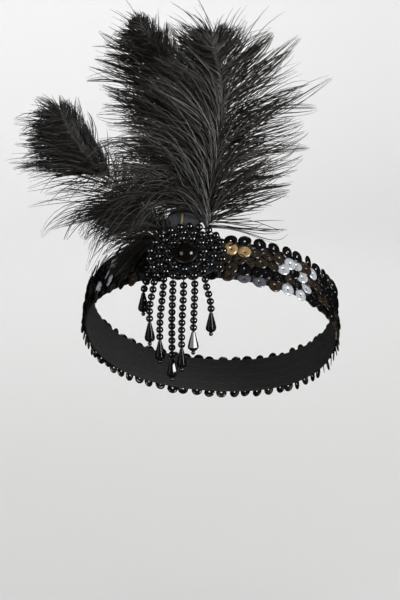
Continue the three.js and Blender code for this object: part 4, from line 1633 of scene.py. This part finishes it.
def grow_down(name, plume, draw):
    """Shorter, darker barbs just behind a plume's vane, which close the gaps between its locks."""
    lesser = {**plume, "barbs": plume["down"]}
    paths = grow_both(lesser, draw)[:, :DOWN_STEPS]
    paths[..., 1] += DOWN_DEPTH * np.linspace(0, 1, DOWN_STEPS)
    barbs, _ = barb_tubes(paths, DOWN_RADII, plume, draw)
    piece = mesh_piece(f"ostrich_down_{name}", *barbs, barb_black)
    tone = draw.beta(*DOWN_TONE, len(paths)) * DOWN_PALENESS
    set_tones(piece, np.repeat(tone, DOWN_STEPS * BARB_SIDES + TUBE_ENDS))
    take_place(piece, "feather", f"plume_{name}")


# %% The quill
SHAFT_ROOT = 0.85 * MM
SHAFT_TIP = 0.22 * MM
SHAFT_TAPER = 0.6
SHAFT_SIDES = 10
SHAFT_EVERY = 8


def grow_quill(name, plume):
    path = from_plane(plume["quill"][::SHAFT_EVERY], plume)[None]
    thinning = np.linspace(0, 1, path.shape[1])[None] ** SHAFT_TAPER
    radii = SHAFT_ROOT + (SHAFT_TIP - SHAFT_ROOT) * thinning
    shaft = tubes(path, radii, SHAFT_SIDES, plume["axes"][1])
    piece = mesh_piece(f"feather_quill_{name}", *shaft, shaft_grey)
    take_place(piece, "quill", f"plume_{name}")


# %% Grow the plumes
VANE_SEED = 21
DOWN_SEED = 61

for number, (name, plume) in enumerate(PLUMES.items()):
    grow_vane(name, plume, np.random.default_rng(VANE_SEED + number))
    if any(plume["down"]):
        grow_down(name, plume, np.random.default_rng(DOWN_SEED + number))
    grow_quill(name, plume)

# %% [markdown]
# ## The studio
# The headband is shown in a bright white room: pale paper curves up from the floor all round, so that every
# view has the same quiet ground, and its colour is darker near the middle and paler farther out, a painted
# shade. A soft light at the front right gives each bead its main glint, a weaker one at the front left the
# second, and one at the back a faint edge. The light from above and the two that brighten the paper, behind
# and in front, don't show in the beads. The paper and the dim room are kept out of reflections too, as a
# photographer does with black flags, so black stays black.

# %% Paper all round
FLOOR = -0.3
PAPER_RADIUS = 2.8
PAPER_HEIGHT = 3.2
PAPER_FOLD = 1.1


def paper_with_painted_shade():
    finish = Finish("white_paper_painted_shade")
    place = finish.place()
    grain = finish.noise(place, 60.0, 3.0)
    # Painted shade: the paper is darker near the middle, under the headband, and paler farther out.
    away = finish.node("ShaderNodeVectorMath", {"operation": "LENGTH"}, {0: place}, output="Value")
    shade = finish.blend(away * 0.36 + grain * 0.02, (0.56, 0.56, 0.555), (0.92, 0.92, 0.92))
    return finish.surface({"Base Color": shade, "Roughness": 0.85 + grain * 0.1})


deselect_all()
bpy.ops.mesh.primitive_circle_add(vertices=96, radius=PAPER_RADIUS, fill_type="NGON", location=(0, 0, FLOOR))
paper = bpy.context.object
paper.name = "paper_ground"
bpy.ops.object.transform_apply(location=True)
bpy.ops.object.mode_set(mode="EDIT")
bpy.ops.mesh.select_mode(type="EDGE")
bpy.ops.mesh.select_all(action="SELECT")
bpy.ops.mesh.extrude_edges_move(TRANSFORM_OT_translate={"value": (0, 0, PAPER_HEIGHT)})
bpy.ops.object.mode_set(mode="OBJECT")
low_points = {vertex.index for vertex in paper.data.vertices if vertex.co.z < FLOOR + PAPER_HEIGHT / 2}
choose(paper, "EDGE", lambda edge: low_points.issuperset(edge.vertices))
bpy.ops.mesh.bevel(offset=PAPER_FOLD, segments=14, affect="EDGES")
bpy.ops.object.mode_set(mode="OBJECT")
bpy.ops.object.shade_smooth()
paper.data.materials.append(paper_with_painted_shade())
paper.visible_glossy = False
print("paper faces:", len(paper.data.polygons))


# %% Lights
def softbox(name, azimuth, elevation, distance, size, power, aim=(0, 0, 0.05), in_beads=True):
    """A square light that faces a point, azimuth counted from the camera's side to the right."""
    turn = math.radians(azimuth)
    climb = math.radians(elevation)
    away = Vector((math.sin(turn) * math.cos(climb), -math.cos(turn) * math.cos(climb), math.sin(climb)))
    bpy.ops.object.light_add(type="AREA", location=away * distance)
    light = bpy.context.object
    light.name = name
    light.data.size = size
    light.data.energy = power
    light.rotation_euler = (light.location - Vector(aim)).to_track_quat("Z", "Y").to_euler()
    light.visible_glossy = in_beads
    print(name, "at", [round(value, 2) for value in light.location])


softbox("key_light", 52, 13, 1.3, 0.55, 14)
softbox("second_light", -46, 13, 1.4, 0.75, 5)
softbox("top_light", 0, 86, 1.8, 1.2, 4, in_beads=False)
softbox("nape_light", 172, 34, 1.5, 0.6, 3.2)
softbox("paper_light", 198, 62, 2.2, 1.4, 31.5, aim=(-0.5, 2.4, 0.3), in_beads=False)
softbox("paper_light_front", 0, 62, 2.2, 1.4, 14, aim=(0, -2.6, 0.4), in_beads=False)

# %% The dim room
ROOM_STRENGTH = 0.05

room = bpy.data.worlds.new("dim_room")
room.use_nodes = True
background = room.node_tree.nodes["Background"]
background.inputs["Color"].default_value = (1, 1, 1, 1)
background.inputs["Strength"].default_value = ROOM_STRENGTH
room.cycles_visibility.glossy = False
bpy.context.scene.world = room
bpy.context.scene.view_settings.view_transform = "Standard"
print("room:", room.name)
